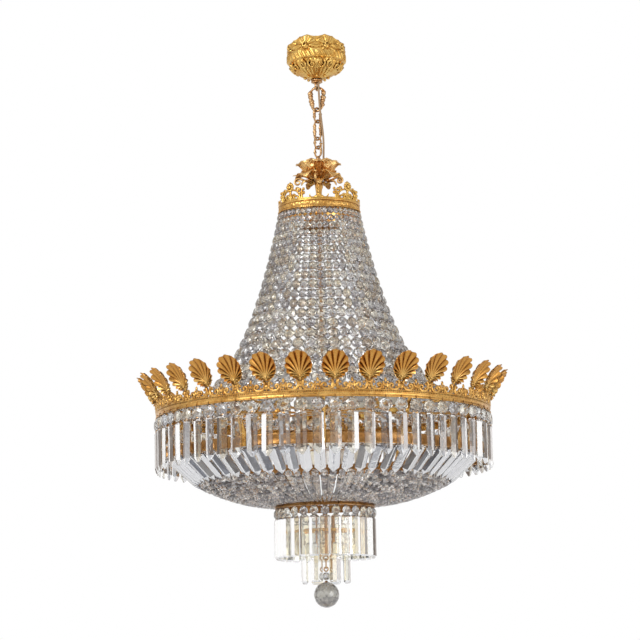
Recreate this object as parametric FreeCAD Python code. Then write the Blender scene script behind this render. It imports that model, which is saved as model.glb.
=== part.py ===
import FreeCAD, Part
import math
import os

V = FreeCAD.Vector
ORIGIN = V(0, 0, 0)
UP = V(0, 0, 1)

# A basket chandelier hung from the ceiling. Millimetres, +Z up, z = 0 at the ceiling,
# the hanging axis on Z, the front towards -Y.

# ---------------------------------------------------------------- clearances
seat_gap = 0.3            # a hung piece to the piece that carries it
bead_gap = 0.3            # bead to bead on one strand
screw_gap = 0.3           # a rod or screw in its plain hole, all round

# ---------------------------------------------------------------- ceiling fitting
strap_length = 100.0
strap_width = 20.0
strap_thick = 3.0
strap_hole_spacing = 70.0
strap_hole_radius = 2.6
nipple_radius = 5.0
nipple_bore_radius = 3.3
nut_width = 16.0
nut_height = 4.0
terminal_length = 22.0
terminal_width = 16.0
terminal_height = 12.0
terminal_entry = 3.2
terminal_offset = 23.0
canopy_radius = 65.0
canopy_scallop_depth = 3.2
canopy_scallops = 16
canopy_rim_height = 12.0
canopy_band_height = 40.0
canopy_shoulder_radius = 58.0
canopy_depth = 92.0
canopy_foot_radius = 12.5
canopy_dome_radius = 36.5
canopy_dome_height = 16.0
canopy_wall = 2.2
collar_radius = 13.0
collar_height = 9.0
eye_radius = 9.0          # centre line of the eye under the collar
eye_wire = 5.0

# ---------------------------------------------------------------- hanging chain
bow_wire = 7.0
bow_pitch = 55.0          # centre line, top bar to bottom bar
bow_top_radius = 18.0
bow_bottom_radius = 11.0
bow_turn = -20.0          # azimuth of the bow's plane
link_wire = 5.5
link_radius = 9.6         # centre line of each link's round ends
link_pitches = (34.4, 45.7, 26.8)
link_turn = 45.0          # odd links stand at +45 degrees, even ones at -45
loop_pitch = 25.0
flex_diameter = 4.5
flex_exit_x = 4.0
flex_exit_y = -8.6

# ---------------------------------------------------------------- crown
finial_neck_radius = 5.5
finial_neck_length = 16.0
leaf_count = 10
leaf_reach = 57.0
leaf_rise = 42.0
leaf_width = 22.0
leaf_thick = 2.4
cup_radius = 19.0
cup_height = 40.0
cup_taper = 12.0
tendril_wire = 3.4
tendril_radius = 9.0
tendril_root = 9.0
scroll_wire = 5.0
scroll_radius = 8.0
vase_height = 54.9
vase_radius = 8.5
vase_waist_radius = 6.2
crown_arm_width = 9.0
crown_arm_thick = 3.0
crown_hub_radius = 13.0
top_ring_radius = 91.5
top_ring_wall = 4.0
top_ring_height = 19.0
gallery_height = 43.0
gallery_thick = 2.0
gallery_inset = 0.8       # ring's outer face to the crests' inner face
gallery_groups = 8
dish_radius = 48.0
dish_centre_radius = 14.0
dish_height = 16.0
dish_wall = 1.6
dish_drop = 14.0          # below the top ring

# ---------------------------------------------------------------- bead tent
tent_height = 451.0       # top ring's lower edge to the main ring's shelf
tent_curve = 118.0        # catenary parameter of a strand
tent_strands = 32
tent_bead_first = 28.0    # pitch at the top
tent_bead_last = 46.0     # pitch at the bottom
tent_bead_width_share = 0.54

# ---------------------------------------------------------------- main ring
ring_radius = 376.0       # outer face of the band
ring_band_height = 16.5
ring_band_wall = 4.0
ring_shelf_width = 17.0
ring_shelf_thick = 2.6
ring_sides = 64           # the large rings are drawn in this many flats
palmette_count = 32
palmette_azimuth = -86.0  # one palmette stands 4 degrees right of the front
palmette_length = 60.0
palmette_width = 57.0
palmette_foot_width = 13.0
palmette_lobes = 5
palmette_notch = 0.84
palmette_lean = 43.7      # degrees from the vertical
palmette_thick = 2.4
frieze_height = 25.0
frieze_thick = 3.0
stem_radius = 5.0
stem_bore_radius = 3.2
arm_count = 8
arm_width = 10.0
arm_thick = 4.0
arm_azimuth = 11.25
hub_radius = 27.0
hub_height = 14.0
lamp_circle_radius = 160.0
lamp_cup_radius = 17.0
lamp_cup_height = 9.0
lamp_cup_wall = 2.0
holder_radius = 11.0
holder_height = 34.0
bulb_radius = 17.5
bulb_height = 62.0
bulb_cap_radius = 7.0
bulb_cap_length = 22.0

# ---------------------------------------------------------------- skirt and basket
skirt_count = 64
octagon_size = 29.0
octagon_thick = 10.0
prism_length = 88.0
prism_width = 22.0
prism_thick = 8.0
prism_tip = 13.0
strap_count = 12
hoop_strap_width = 9.0
hoop_strap_thick = 2.0
hoop_drop = 70.0          # main ring's lower edge to the lower hoop's upper edge
hoop_inset = 37.5         # main ring's outer face to the hoop's
hoop_wall = 3.5
hoop_height = 24.0
bar_width = 18.0
bar_thick = 8.0
bar_end_inset = 58.5      # hoop's outer face to the bars' lower ends
bar_end_drop = 53.0       # below the hoop
basket_strands = 32
basket_beads_per_strand = 5
basket_bow = 10.0         # how far a strand bellies below the straight line
bottom_ring_radius = 112.0
bottom_ring_wall = 7.0
bottom_ring_height = 17.0
bottom_ring_drop = 118.0  # hoop's upper edge to the bottom ring's upper edge
spoke_count = 4
spoke_width = 8.0
spoke_thick = 3.0
spoke_hub_radius = 14.0
spoke_hub_height = 10.0

# ---------------------------------------------------------------- lower tiers
bottom_count = 28
bottom_bead_size = 22.0
bottom_bead_thick = 12.0
bottom_prism_length = 89.0
bottom_prism_width = 20.5
inner_ring_radius = 54.5
inner_ring_wall = 4.0
inner_ring_height = 4.0
inner_ring_drop = 46.0    # bottom ring's lower edge to the inner ring's upper edge
inner_hub_radius = 11.0
inner_hub_height = 8.0
drop_count = 8
drop_bead_length = 27.0
drop_bead_width = 15.0
drop_prism_length = 88.5
stem_tail = 49.0          # below the inner ring
end_nut_radius = 8.0
end_nut_height = 7.0
end_eye_radius = 5.0
hook_wire = 3.0
hook_radius = 4.6
hook_pitch = 22.0
neck_bead_length = 19.0
neck_bead_width = 15.0
ball_radius = 28.5
ball_cap_radius = 4.0
ball_cap_height = 3.0

# ---------------------------------------------------------------- heights, from the ceiling down
z_collar_top = -canopy_depth
z_collar_bottom = z_collar_top - collar_height
z_eye = z_collar_bottom - eye_radius + eye_wire / 2
z_eye_bar = z_eye - eye_radius
z_bow = z_eye_bar + eye_wire / 2 + bow_wire / 2 + seat_gap
z_links = []
z_bars = []
z_bar, bar_wire = z_bow - bow_pitch, bow_wire
for link_pitch in link_pitches:
    z_links.append(z_bar + bar_wire / 2 + link_wire / 2 + seat_gap)
    z_bars.append(z_bar)
    z_bar, bar_wire = z_links[-1] - link_pitch, link_wire
z_bars.append(z_bar)
z_loop = z_bar + link_wire + seat_gap
z_neck_top = z_loop - loop_pitch
z_cup_top = z_neck_top - finial_neck_length
z_vase_top = z_cup_top - cup_height
z_vase_bottom = z_vase_top - vase_height
z_ring_top = z_vase_bottom - crown_arm_thick
z_ring_bottom = z_ring_top - top_ring_height
z_shelf_top = z_ring_bottom - tent_height
z_band_top = z_shelf_top
z_band_bottom = z_band_top - ring_band_height
z_arm_top = z_shelf_top - ring_shelf_thick
z_hoop_top = z_band_bottom - hoop_drop
z_hoop_bottom = z_hoop_top - hoop_height
z_low_ring_top = z_hoop_top - bottom_ring_drop
z_low_ring_bottom = z_low_ring_top - bottom_ring_height
z_inner_top = z_low_ring_bottom - inner_ring_drop
z_inner_bottom = z_inner_top - inner_ring_height
z_stem_end = z_inner_bottom - stem_tail
z_end_eye = z_stem_end - end_nut_height - end_eye_radius + hook_wire / 2
z_end_bar = z_end_eye - end_eye_radius
z_hook = z_end_bar + hook_wire + seat_gap
z_hook_bar = z_hook - hook_pitch

# ---------------------------------------------------------------- radii that follow the main ring
hoop_radius = ring_radius - hoop_inset
bar_end_radius = hoop_radius - bar_end_inset

nodes = {}


# ---------------------------------------------------------------- helpers
def node(name, *shapes):
    """One named node from one or more separate solids."""
    nodes[name] = shapes[0] if len(shapes) == 1 else Part.makeCompound(list(shapes))


def faceted(outline, sides):
    """Turned about Z in flat facets, from a closed (radius, height) outline."""
    points = []
    rings = []
    for r, z in outline:
        count = sides if r > 0 else 1
        rings.append([len(points) + i % count for i in range(sides)])
        for i in range(count):
            a = 2 * math.pi * i / sides
            points.append(V(r * math.cos(a), r * math.sin(a), z))
    faces = []
    for low, high in zip(rings, rings[1:] + rings[:1]):
        for i in range(sides):
            j = (i + 1) % sides
            corners = list(dict.fromkeys([low[i], low[j], high[j], high[i]]))
            if len(corners) > 2:
                faces.append(corners)
    return polyhedron(points, faces)


def tube(radius, bore, z_low, z_high):
    length = z_high - z_low
    outer = Part.makeCylinder(radius, length, V(0, 0, z_low))
    return outer.cut(Part.makeCylinder(bore, length, V(0, 0, z_low)))


def block(x_size, y_size, z_low, z_high, x=0.0, y=0.0):
    return Part.makeBox(x_size, y_size, z_high - z_low, V(x - x_size / 2, y - y_size / 2, z_low))


def turn(shape, azimuth):
    """A copy turned about Z; what is made along +X comes to that azimuth."""
    copy = shape.copy()
    copy.rotate(ORIGIN, UP, azimuth)
    return copy


def around(shapes, count, azimuth=0.0):
    """Copies of the shapes, evenly spaced round the axis."""
    return [turn(s, azimuth + 360.0 * i / count) for i in range(count) for s in shapes]


def hubbed(bars, radius, z_low, z_high):
    """Bars joined by a twelve-sided hub that the stem passes through."""
    hub = faceted([(0, z_low), (radius, z_low), (radius, z_high), (0, z_high)], 12)
    bore = (stem_radius + screw_gap) / math.cos(math.pi / 12)
    hole = faceted([(0, z_low), (bore, z_low), (bore, z_high), (0, z_high)], 12)
    return hub.multiFuse(bars).cut(hole).removeSplitter()


def polyhedron(points, faces):
    """A closed solid from its corners and the corner numbers of each flat face."""
    shell = Part.Shell([Part.Face(Part.makePolygon([points[i] for i in f + f[:1]])) for f in faces])
    solid = Part.Solid(shell)
    return solid if solid.Volume > 0 else solid.reversed()


def bipyramid(girdle, apex_a, apex_b):
    """Two pyramids base to base: a cut crystal bead."""
    n = len(girdle)
    sides = [[i, (i + 1) % n, n] for i in range(n)] + [[(i + 1) % n, i, n + 1] for i in range(n)]
    return polyhedron(girdle + [apex_a, apex_b], sides)


def strand_bead(top, bottom, width, depth):
    """A long bead threaded from top to bottom, both in the XZ plane."""
    middle = (top + bottom) * 0.5
    along = (bottom - top).normalize()
    outward = V(-along.z, 0, along.x)
    side = V(0, width / 2, 0)
    girdle = [middle + side, middle + outward * (depth / 2),
              middle - side, middle - outward * (depth / 2)]
    return bipyramid(girdle, top, bottom)


def octagon(radius, z_top, size, thick):
    """A flat eight-sided crystal facing outwards, hung from z_top at this radius."""
    z_mid = z_top - size / 2
    corner = size / 2 / math.cos(math.pi / 8)
    angles = [math.radians(22.5 + 45 * i) for i in range(8)]
    girdle = [V(radius, corner * math.cos(a), z_mid + corner * math.sin(a)) for a in angles]
    return bipyramid(girdle, V(radius + thick / 2, 0, z_mid), V(radius - thick / 2, 0, z_mid))


def ridge_prism(radius, z_top, length, width, thick, tip):
    """A hanging prism: flat back, ridged front, flat top and a pointed lower end."""
    back = radius - thick / 2
    front = radius + thick / 2
    z_low = z_top - length
    points = [V(back, -width / 2, z_top), V(back, width / 2, z_top),
              V(back, width / 2, z_low + tip), V(back, 0, z_low), V(back, -width / 2, z_low + tip),
              V(front, 0, z_top), V(front, 0, z_low + tip)]
    return polyhedron(points, [[0, 1, 2, 3, 4], [1, 0, 5], [1, 5, 6, 2], [0, 4, 6, 5],
                               [2, 6, 3], [4, 3, 6]])


def bar_section(centre, outward, radius):
    """The six corners of a cast bar's section; the first points outwards in the XZ plane."""
    return [centre + outward * (radius * math.cos(math.radians(60 * i)))
            + V(0, radius * math.sin(math.radians(60 * i)), 0) for i in range(6)]


def bar_through(sections, closed):
    """A bar through its sections, a ring of them when closed, else with flat ends."""
    points = [p for section in sections for p in section]
    last = len(points) - 6
    faces = [] if closed else [list(range(6)), list(range(last, last + 6))]
    for k in range(0, len(points) if closed else last, 6):
        following = (k + 6) % len(points)
        for i in range(6):
            j = (i + 1) % 6
            faces.append([k + i, k + j, following + j, following + i])
    return polyhedron(points, faces)


def arc_sections(centre, radius, start, sweep, wire):
    """Sections along an arc, at most 36 degrees apart, one of them at its middle."""
    steps = 2 * math.ceil(abs(sweep) / 72.0)
    sections = []
    for i in range(steps + 1):
        a = math.radians(start + sweep * i / steps)
        outward = V(math.cos(a), 0, math.sin(a))
        sections.append(bar_section(centre + outward * radius, outward, wire / 2))
    return sections


def bent_bar(centre, radius, start, sweep, wire):
    return bar_through(arc_sections(centre, radius, start, sweep, wire), False)


def closed_link(z_top, pitch, top_radius, bottom_radius, wire):
    """A closed loop in the XZ plane: two round ends joined by tangent sides."""
    spread = pitch - top_radius - bottom_radius
    lean = math.degrees(math.asin((top_radius - bottom_radius) / spread))
    top = V(0, 0, z_top - top_radius)
    bottom = V(0, 0, z_top - pitch + bottom_radius)
    return bar_through(arc_sections(top, top_radius, -lean, 180 + 2 * lean, wire)
                       + arc_sections(bottom, bottom_radius, 180 + lean, 180 - 2 * lean, wire), True)


def eye(z_centre, radius, wire):
    """A round closed loop in the XZ plane."""
    return bar_through(arc_sections(V(0, 0, z_centre), radius, 90, 360, wire)[:-1], True)


def curved_leaf(stations, thick):
    """A ridged leaf from (radius, height, half width) stations, drawn along +X."""
    points = []
    for r, z, half in stations:
        points += [V(r, -half, z), V(r + thick, 0, z - thick), V(r, half, z), V(r - thick, 0, z)]
    faces = [[0, 3, 1], [1, 3, 2]]
    last = 4 * (len(stations) - 1)
    for k in range(0, last, 4):
        for i in range(4):
            j = (i + 1) % 4
            faces += [[k + i, k + j, k + 4 + j], [k + i, k + 4 + j, k + 4 + i]]
    faces += [[last, last + 1, last + 3], [last + 1, last + 2, last + 3]]
    return polyhedron(points, faces)


# ---------------------------------------------------------------- ceiling fitting
def ceiling_fitting():
    strap = block(strap_length, strap_width, -strap_thick, 0)
    for x in (-strap_hole_spacing / 2, strap_hole_spacing / 2):
        strap = strap.cut(Part.makeCylinder(strap_hole_radius, strap_thick, V(x, 0, -strap_thick)))
    centre_hole = Part.makeCylinder(nipple_radius + screw_gap, strap_thick, V(0, 0, -strap_thick))
    node("ceiling_bracket", strap.cut(centre_hole))
    z_nipple_end = z_collar_bottom + eye_wire
    node("threaded_nipple", tube(nipple_radius, nipple_bore_radius, z_nipple_end, 0))
    node("nipple_nuts",
         hex_nut(-strap_thick, nipple_radius + screw_gap),
         hex_nut(z_collar_top + canopy_wall + nut_height, nipple_radius + screw_gap))
    terminal = block(terminal_width, terminal_length / 2, -strap_thick - terminal_height,
                     -strap_thick, terminal_offset)
    for y in (-terminal_length / 8, terminal_length / 8):
        z = -strap_thick - terminal_height / 2
        entry = block(terminal_width, terminal_entry, z - terminal_entry / 2, z + terminal_entry / 2,
                      terminal_offset, y)
        terminal = terminal.cut(entry)
    node("terminal_block", terminal)
    node("ceiling_canopy", canopy())
    collar = faceted([(nipple_radius + screw_gap, z_collar_top), (collar_radius - 2, z_collar_top),
                      (collar_radius, z_collar_top - 2), (collar_radius, z_collar_bottom + 2),
                      (collar_radius - 2, z_collar_bottom), (0, z_collar_bottom),
                      (0, z_nipple_end - screw_gap),
                      (nipple_radius + screw_gap, z_nipple_end - screw_gap)], 12)
    loop = turn(eye(z_eye, eye_radius, eye_wire), bow_turn + 90)
    exit_hole = Part.makeCylinder(flex_diameter / 2, collar_height,
                                  V(flex_exit_x, flex_exit_y, z_collar_bottom))
    node("canopy_collar", collar.fuse(loop).cut(exit_hole).removeSplitter())


def hex_nut(z_top, bore):
    """A six-sided nut; its bore is drawn six-sided too, clear of the thread."""
    corner = nut_width / 2 / math.cos(math.pi / 6)
    hole = bore / math.cos(math.pi / 6)
    z_low = z_top - nut_height
    return faceted([(hole, z_low), (corner, z_low), (corner, z_top), (hole, z_top)], 6)


def canopy():
    """A cast bell: scalloped rim at the ceiling, upright band, domed foot."""
    z_rim = -canopy_rim_height
    z_band = z_rim - canopy_band_height
    z_shoulder = z_band - (canopy_radius - canopy_shoulder_radius)
    wall = canopy_wall
    hole = nipple_radius + screw_gap
    outer = [(canopy_radius, 0), (canopy_radius, z_band), (canopy_shoulder_radius, z_shoulder),
             (canopy_dome_radius, -canopy_depth + canopy_dome_height),
             (canopy_foot_radius, -canopy_depth)]
    inner = [(hole, -canopy_depth), (hole, -canopy_depth + wall),
             (canopy_foot_radius - 0.5 * wall, -canopy_depth + wall),
             (canopy_dome_radius - wall, -canopy_depth + canopy_dome_height + wall),
             (canopy_shoulder_radius - wall, z_shoulder + wall),
             (canopy_radius - 2 * wall, z_band), (canopy_radius - 2 * wall, 0)]
    bell = faceted(outer + inner, canopy_scallops)
    depth = canopy_scallop_depth
    notch = [V(canopy_radius - depth, 0, 0), V(canopy_radius + depth, 2 * depth, 0),
             V(canopy_radius + depth, -2 * depth, 0)]
    groove = Part.Face(Part.makePolygon(notch + notch[:1])).extrude(V(0, 0, z_rim))
    return bell.cut(Part.makeCompound(around([groove], canopy_scallops)))


# ---------------------------------------------------------------- hanging chain
def link_azimuth(index):
    return link_turn if index % 2 == 0 else -link_turn


def chain():
    bow = closed_link(z_bow, bow_pitch, bow_top_radius, bow_bottom_radius, bow_wire)
    node("bow_shackle", turn(bow, bow_turn))
    for i, pitch in enumerate(link_pitches):
        link = closed_link(z_links[i], pitch, link_radius, link_radius, link_wire)
        node("chain_link_%d" % (i + 1), turn(link, link_azimuth(i)))
    node("supply_flex", bent_tube(flex_route(), flex_diameter / 2))


def flex_route():
    """The flex hangs from the collar past the chain into the leaf cup."""
    z_top = z_collar_bottom
    z_end = z_cup_top + seat_gap
    fall = z_top - z_end
    return [V(flex_exit_x, flex_exit_y, z_top),
            V(flex_exit_x + 0.4, flex_exit_y - 2.4, z_top - 0.27 * fall),
            V(flex_exit_x + 6.0, flex_exit_y - 5.4, z_top - 0.52 * fall),
            V(flex_exit_x + 10.0, flex_exit_y - 3.0, z_top - 0.77 * fall),
            V(flex_exit_x + 7.5, flex_exit_y + 3.4, z_end)]


def bent_tube(route, radius):
    """A round cord along straight runs joined by tangent arcs, each as large as its runs allow."""
    edges = []
    start = route[0]
    for before, corner, after in zip(route, route[1:], route[2:]):
        to_before = before - corner
        to_after = after - corner
        reach = 0.45 * min(to_before.Length, to_after.Length)
        a = corner + to_before.normalize() * reach
        b = corner + to_after.normalize() * reach
        half_turn = (math.pi - to_before.getAngle(to_after)) / 2
        bend = reach / math.tan(half_turn)
        to_centre = (to_before + to_after).normalize()
        middle = corner + to_centre * (bend / math.cos(half_turn) - bend)
        print("flex bend radius %.0f mm" % bend)
        edges += [Part.LineSegment(start, a).toShape(), Part.Arc(a, middle, b).toShape()]
        start = b
    edges.append(Part.LineSegment(start, route[-1]).toShape())
    path = Part.Wire(edges)
    section = Part.Wire(Part.makeCircle(radius, route[0], route[1] - route[0]))
    swept = path.makePipeShell([section], True, False)
    expected = math.pi * radius ** 2 * path.Length
    print("flex length %.0f mm, volume ratio %.4f" % (path.Length, swept.Volume / expected))
    return swept


# ---------------------------------------------------------------- crown
def crown():
    loop = closed_link(z_loop, loop_pitch, link_radius, link_radius, link_wire)
    neck = Part.makeCylinder(finial_neck_radius, finial_neck_length - seat_gap + link_wire / 2,
                             V(0, 0, z_cup_top + seat_gap))
    node("hanging_loop", turn(loop, link_azimuth(len(link_pitches))).fuse(neck).removeSplitter())
    node("finial_cup", faceted([(0, z_cup_top), (cup_radius - 3, z_cup_top),
                                (cup_radius, z_cup_top - 3), (cup_radius, z_vase_top + cup_taper),
                                (vase_radius, z_vase_top), (0, z_vase_top)], 12))
    node("finial_leaves", *around([finial_leaf()], leaf_count, -90))
    node("finial_tendrils", *tendrils())
    node("finial_scrolls", *around([finial_scroll()], 4, -90))
    node("finial_vase", finial_vase())
    node("crown_arms", crown_spider())
    node("top_ring", top_ring())
    node("top_gallery", *around([gallery_crest()], gallery_groups, -90))
    node("crown_dish", crown_dish())


def finial_leaf():
    """A leaf springs from the cup's side, rises and opens outwards."""
    root = cup_radius + leaf_thick + seat_gap
    foot = z_vase_top + cup_taper + leaf_thick
    rise = leaf_rise
    reach = leaf_reach - root
    half = leaf_width / 2
    return curved_leaf([(root, foot, 0.25 * half), (root + 0.35 * reach, foot + 0.18 * rise, 0.8 * half),
                        (root + 0.75 * reach, foot + 0.55 * rise, half),
                        (root + 0.95 * reach, foot + 0.9 * rise, 0.5 * half),
                        (root + reach, foot + rise, 0.1 * half)], leaf_thick)


def tendrils():
    """Four stems that rise from the cup's top and curl over outwards."""
    centre = V(tendril_root + tendril_radius, 0, z_cup_top + seat_gap)
    curl = bent_bar(centre, tendril_radius, 180, -230, tendril_wire)
    return around([curl], 4, -90 + 180.0 / leaf_count)


def finial_scroll():
    """A ram's horn volute under each side of the leaf cup."""
    centre = V(vase_radius + scroll_wire / 2 + seat_gap + scroll_radius, 0,
               z_vase_top - scroll_radius / 2)
    return bent_bar(centre, scroll_radius, 150, 240, scroll_wire)


def finial_vase():
    h = vase_height
    z = z_vase_bottom
    return faceted([(stem_radius + screw_gap, z), (vase_radius, z), (vase_radius, z + 0.1 * h),
                    (vase_waist_radius, z + 0.25 * h), (vase_waist_radius + 0.8, z + 0.6 * h),
                    (vase_radius, z + 0.85 * h), (vase_radius, z + h), (stem_radius + screw_gap, z + h)], 12)


def crown_spider():
    """A flat hub with four arms whose ends rest on the top ring."""
    z = z_ring_top
    arm = block(top_ring_radius - top_ring_wall / 2, crown_arm_width, z, z + crown_arm_thick,
                (top_ring_radius - top_ring_wall / 2) / 2)
    return hubbed(around([arm], 4, 45), crown_hub_radius, z, z + crown_arm_thick)


def top_ring():
    inner = top_ring_radius - top_ring_wall
    lip = top_ring_radius + 1.5
    return faceted([(inner, z_ring_bottom), (lip, z_ring_bottom), (top_ring_radius, z_ring_bottom + 5),
                    (top_ring_radius, z_ring_top - 5), (lip, z_ring_top), (inner, z_ring_top)], 32)


def gallery_crest():
    """A pierced crest on the ring's upper edge: two scrolls that meet in a point."""
    half = math.pi * top_ring_radius / gallery_groups - 3
    x = top_ring_radius - gallery_inset
    z = z_ring_top
    h = gallery_height
    outline = [(-half, z), (half, z), (half, z + 0.3 * h), (0.62 * half, z + 0.42 * h),
               (0.7 * half, z + 0.75 * h), (0.25 * half, z + 0.8 * h), (0, z + h),
               (-0.25 * half, z + 0.8 * h), (-0.7 * half, z + 0.75 * h), (-0.62 * half, z + 0.42 * h),
               (-half, z + 0.3 * h)]
    window = [(-0.3 * half, z + 0.15 * h), (0.3 * half, z + 0.15 * h), (0.25 * half, z + 0.6 * h),
              (-0.25 * half, z + 0.6 * h)]
    return plate(outline, x, gallery_thick).cut(plate(window, x, gallery_thick))


def crown_dish():
    """A shallow dish on the stem that hides the wiring under the crown."""
    z = z_ring_bottom - dish_drop
    hole = stem_radius + screw_gap
    return faceted([(hole, z), (dish_centre_radius, z), (dish_radius, z - dish_height),
                    (dish_radius - 2 * dish_wall, z - dish_height),
                    (dish_centre_radius - dish_wall, z - dish_wall), (hole, z - dish_wall)], 16)


# ---------------------------------------------------------------- bead tent
def catenary(r_top, z_top, r_bottom, z_bottom, curve):
    """The curve of a hanging strand; returns its length and a point by distance from the top."""
    share = (r_bottom - r_top) / curve
    mean = math.asinh((z_top - z_bottom) / (2 * curve * math.sinh(share / 2)))
    u_top = mean + share / 2
    u_bottom = mean - share / 2
    length = curve * (math.sinh(u_top) - math.sinh(u_bottom))

    def point(distance):
        u = math.asinh(math.sinh(u_top) - distance / curve)
        return V(r_top + curve * (u_top - u), 0, z_top - curve * (math.cosh(u_top) - math.cosh(u)))

    return length, point


def tent_strand():
    """Beads that grow from the crown to the main ring along one catenary."""
    r_top = top_ring_radius - top_ring_wall / 2
    r_bottom = ring_radius - ring_band_wall - ring_shelf_width + bead_gap * 2
    length, point = catenary(r_top, z_ring_bottom - seat_gap, r_bottom, z_shelf_top + seat_gap + 4,
                             tent_curve)
    count = round(length / ((tent_bead_first + tent_bead_last) / 2))
    growth = (tent_bead_last - tent_bead_first) / (count - 1)
    raw = [tent_bead_first + growth * i for i in range(count)]
    scale = length / sum(raw)
    beads = []
    distance = 0.0
    for pitch in [p * scale for p in raw]:
        top = point(distance)
        bottom = point(distance + pitch - bead_gap)
        width = pitch * tent_bead_width_share
        beads.append(strand_bead(top, bottom, width, width))
        distance += pitch
    return beads


def tent():
    node("tent_beads", *around(tent_strand(), tent_strands, arm_azimuth + 180.0 / tent_strands))


# ---------------------------------------------------------------- main ring and lamps
def main_ring():
    inner = ring_radius - ring_band_wall
    shelf = inner - ring_shelf_width
    node("main_ring", faceted([(shelf, z_arm_top), (inner, z_arm_top), (inner, z_band_bottom),
                               (ring_radius, z_band_bottom), (ring_radius, z_shelf_top),
                               (shelf, z_shelf_top)], ring_sides))
    node("ring_frieze", *around([frieze_panel()], palmette_count,
                                palmette_azimuth + 180.0 / palmette_count))
    node("palmettes", *around([palmette()], palmette_count, palmette_azimuth))
    node("spider_hub", spider_hub())
    node("spider_arms", *around([spider_arm()], arm_count, arm_azimuth))
    lamps()


def plate(outline, x, thick):
    """A flat plate facing +X from its (y, z) outline."""
    points = [V(x, y, z) for y, z in outline]
    return Part.Face(Part.makePolygon(points + points[:1])).extrude(V(thick, 0, 0))


def frieze_panel():
    """One panel between two palmettes: a scroll rises at each side of a small fleuron."""
    middle = ring_radius - ring_band_wall / 2
    pitch = 2 * (middle - frieze_thick) * math.tan(math.pi / palmette_count)
    half = pitch / 2 - seat_gap
    h = frieze_height
    z = z_band_top
    ledge = half - palmette_foot_width / 2
    outline = [(-half, z), (half, z), (half, z + 0.8 * h), (ledge, z + 0.8 * h), (0.5 * half, z + h),
               (-0.5 * half, z + h), (-ledge, z + 0.8 * h), (-half, z + 0.8 * h)]
    return plate(outline, middle - frieze_thick, frieze_thick)


def palmette():
    """A scalloped fan that stands on the frieze and leans outwards."""
    semi_long = 0.46 * palmette_length
    semi_wide = palmette_width / 2
    centre = palmette_length - semi_long
    foot = palmette_foot_width / 2
    spread = 110.0
    steps = 2 * palmette_lobes - 2
    outline = [(foot, 0)]
    for i in range(steps + 1):
        angle = math.radians(-spread + 2 * spread * i / steps)
        size = 1.0 if i % 2 == 0 else palmette_notch
        outline.append((-semi_wide * size * math.sin(angle), centre + semi_long * size * math.cos(angle)))
    outline.append((-foot, 0))
    fan = plate(outline, 0, palmette_thick)
    fan.rotate(ORIGIN, V(0, 1, 0), palmette_lean)
    sink = palmette_thick * math.sin(math.radians(palmette_lean))
    fan.translate(V(ring_radius - ring_band_wall / 2 - frieze_thick / 2, 0,
                    z_band_top + 0.8 * frieze_height + sink + seat_gap))
    return fan


def spider_hub():
    z = z_arm_top
    hole = stem_radius + screw_gap
    return faceted([(hole, z - arm_thick), (hub_radius, z - arm_thick), (hub_radius, z),
                    (hub_radius - 8, z + 3), (hub_radius - 12, z + hub_height), (hole, z + hub_height)], 24)


def spider_arm():
    """A flat bar from the hub to a foot under the main ring's shelf."""
    start = hub_radius + seat_gap
    end = ring_radius - ring_band_wall - 3
    return block(end - start, arm_width, z_arm_top - arm_thick, z_arm_top - seat_gap, (start + end) / 2)


def lamps():
    """Each lamp stands on an arm: cup, insulated holder with its cap, candle bulb."""
    x = lamp_circle_radius
    z = z_arm_top
    floor = z + lamp_cup_wall
    foot = holder_radius + 2 * screw_gap
    cup = faceted([(0, z), (foot, z), (lamp_cup_radius, z + lamp_cup_height),
                   (lamp_cup_radius - lamp_cup_wall, z + lamp_cup_height), (foot, floor), (0, floor)], 8)
    z_bulb = floor + holder_height
    bore = bulb_cap_radius + 2 * screw_gap
    socket_floor = z_bulb - bulb_cap_length - seat_gap
    holder = faceted([(0, floor), (holder_radius, floor), (holder_radius, z_bulb),
                      (bore, z_bulb), (bore, socket_floor), (0, socket_floor)], 8)
    cap = z_bulb - bulb_cap_length
    bulb = faceted([(0, cap), (bulb_cap_radius, cap), (bulb_cap_radius, z_bulb + seat_gap),
                    (bulb_radius, z_bulb + 0.35 * bulb_height),
                    (0.55 * bulb_radius, z_bulb + 0.75 * bulb_height), (0, z_bulb + bulb_height)], 8)
    for name, shape in (("lamp_cups", cup), ("lamp_holders", holder), ("candle_bulbs", bulb)):
        shape.translate(V(x, 0, 0))
        node(name, *around([shape], arm_count, arm_azimuth))


# ---------------------------------------------------------------- skirt and basket
def skirt():
    radius = ring_radius - ring_band_wall / 2
    z_bead = z_band_bottom - seat_gap
    bead = octagon(radius, z_bead, octagon_size, octagon_thick)
    node("skirt_octagons", *around([bead], skirt_count, palmette_azimuth))
    prism = ridge_prism(radius, z_bead - octagon_size - seat_gap, prism_length, prism_width,
                        prism_thick, prism_tip)
    node("skirt_prisms", *around([prism], skirt_count, palmette_azimuth))
    node("hoop_straps", *around([hoop_strap()], strap_count))
    node("lower_hoop", faceted([(hoop_radius - hoop_wall, z_hoop_bottom), (hoop_radius, z_hoop_bottom),
                                (hoop_radius, z_hoop_top), (hoop_radius - hoop_wall, z_hoop_top)],
                               ring_sides))


def hoop_strap():
    """A flat strip bent twice, from the main ring's inner face to the hoop's outer face."""
    t = hoop_strap_thick
    high = (ring_radius - ring_band_wall) * math.cos(math.pi / ring_sides) - seat_gap
    low = hoop_radius + seat_gap + t
    z_top = z_arm_top - seat_gap
    outline = [(high, z_top), (high, z_band_bottom), (low, z_hoop_top + t), (low, z_hoop_bottom),
               (low - t, z_hoop_bottom), (low - t, z_hoop_top), (high - t, z_band_bottom - t),
               (high - t, z_top)]
    points = [V(r, -hoop_strap_width / 2, z) for r, z in outline]
    return Part.Face(Part.makePolygon(points + points[:1])).extrude(V(0, hoop_strap_width, 0))


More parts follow.
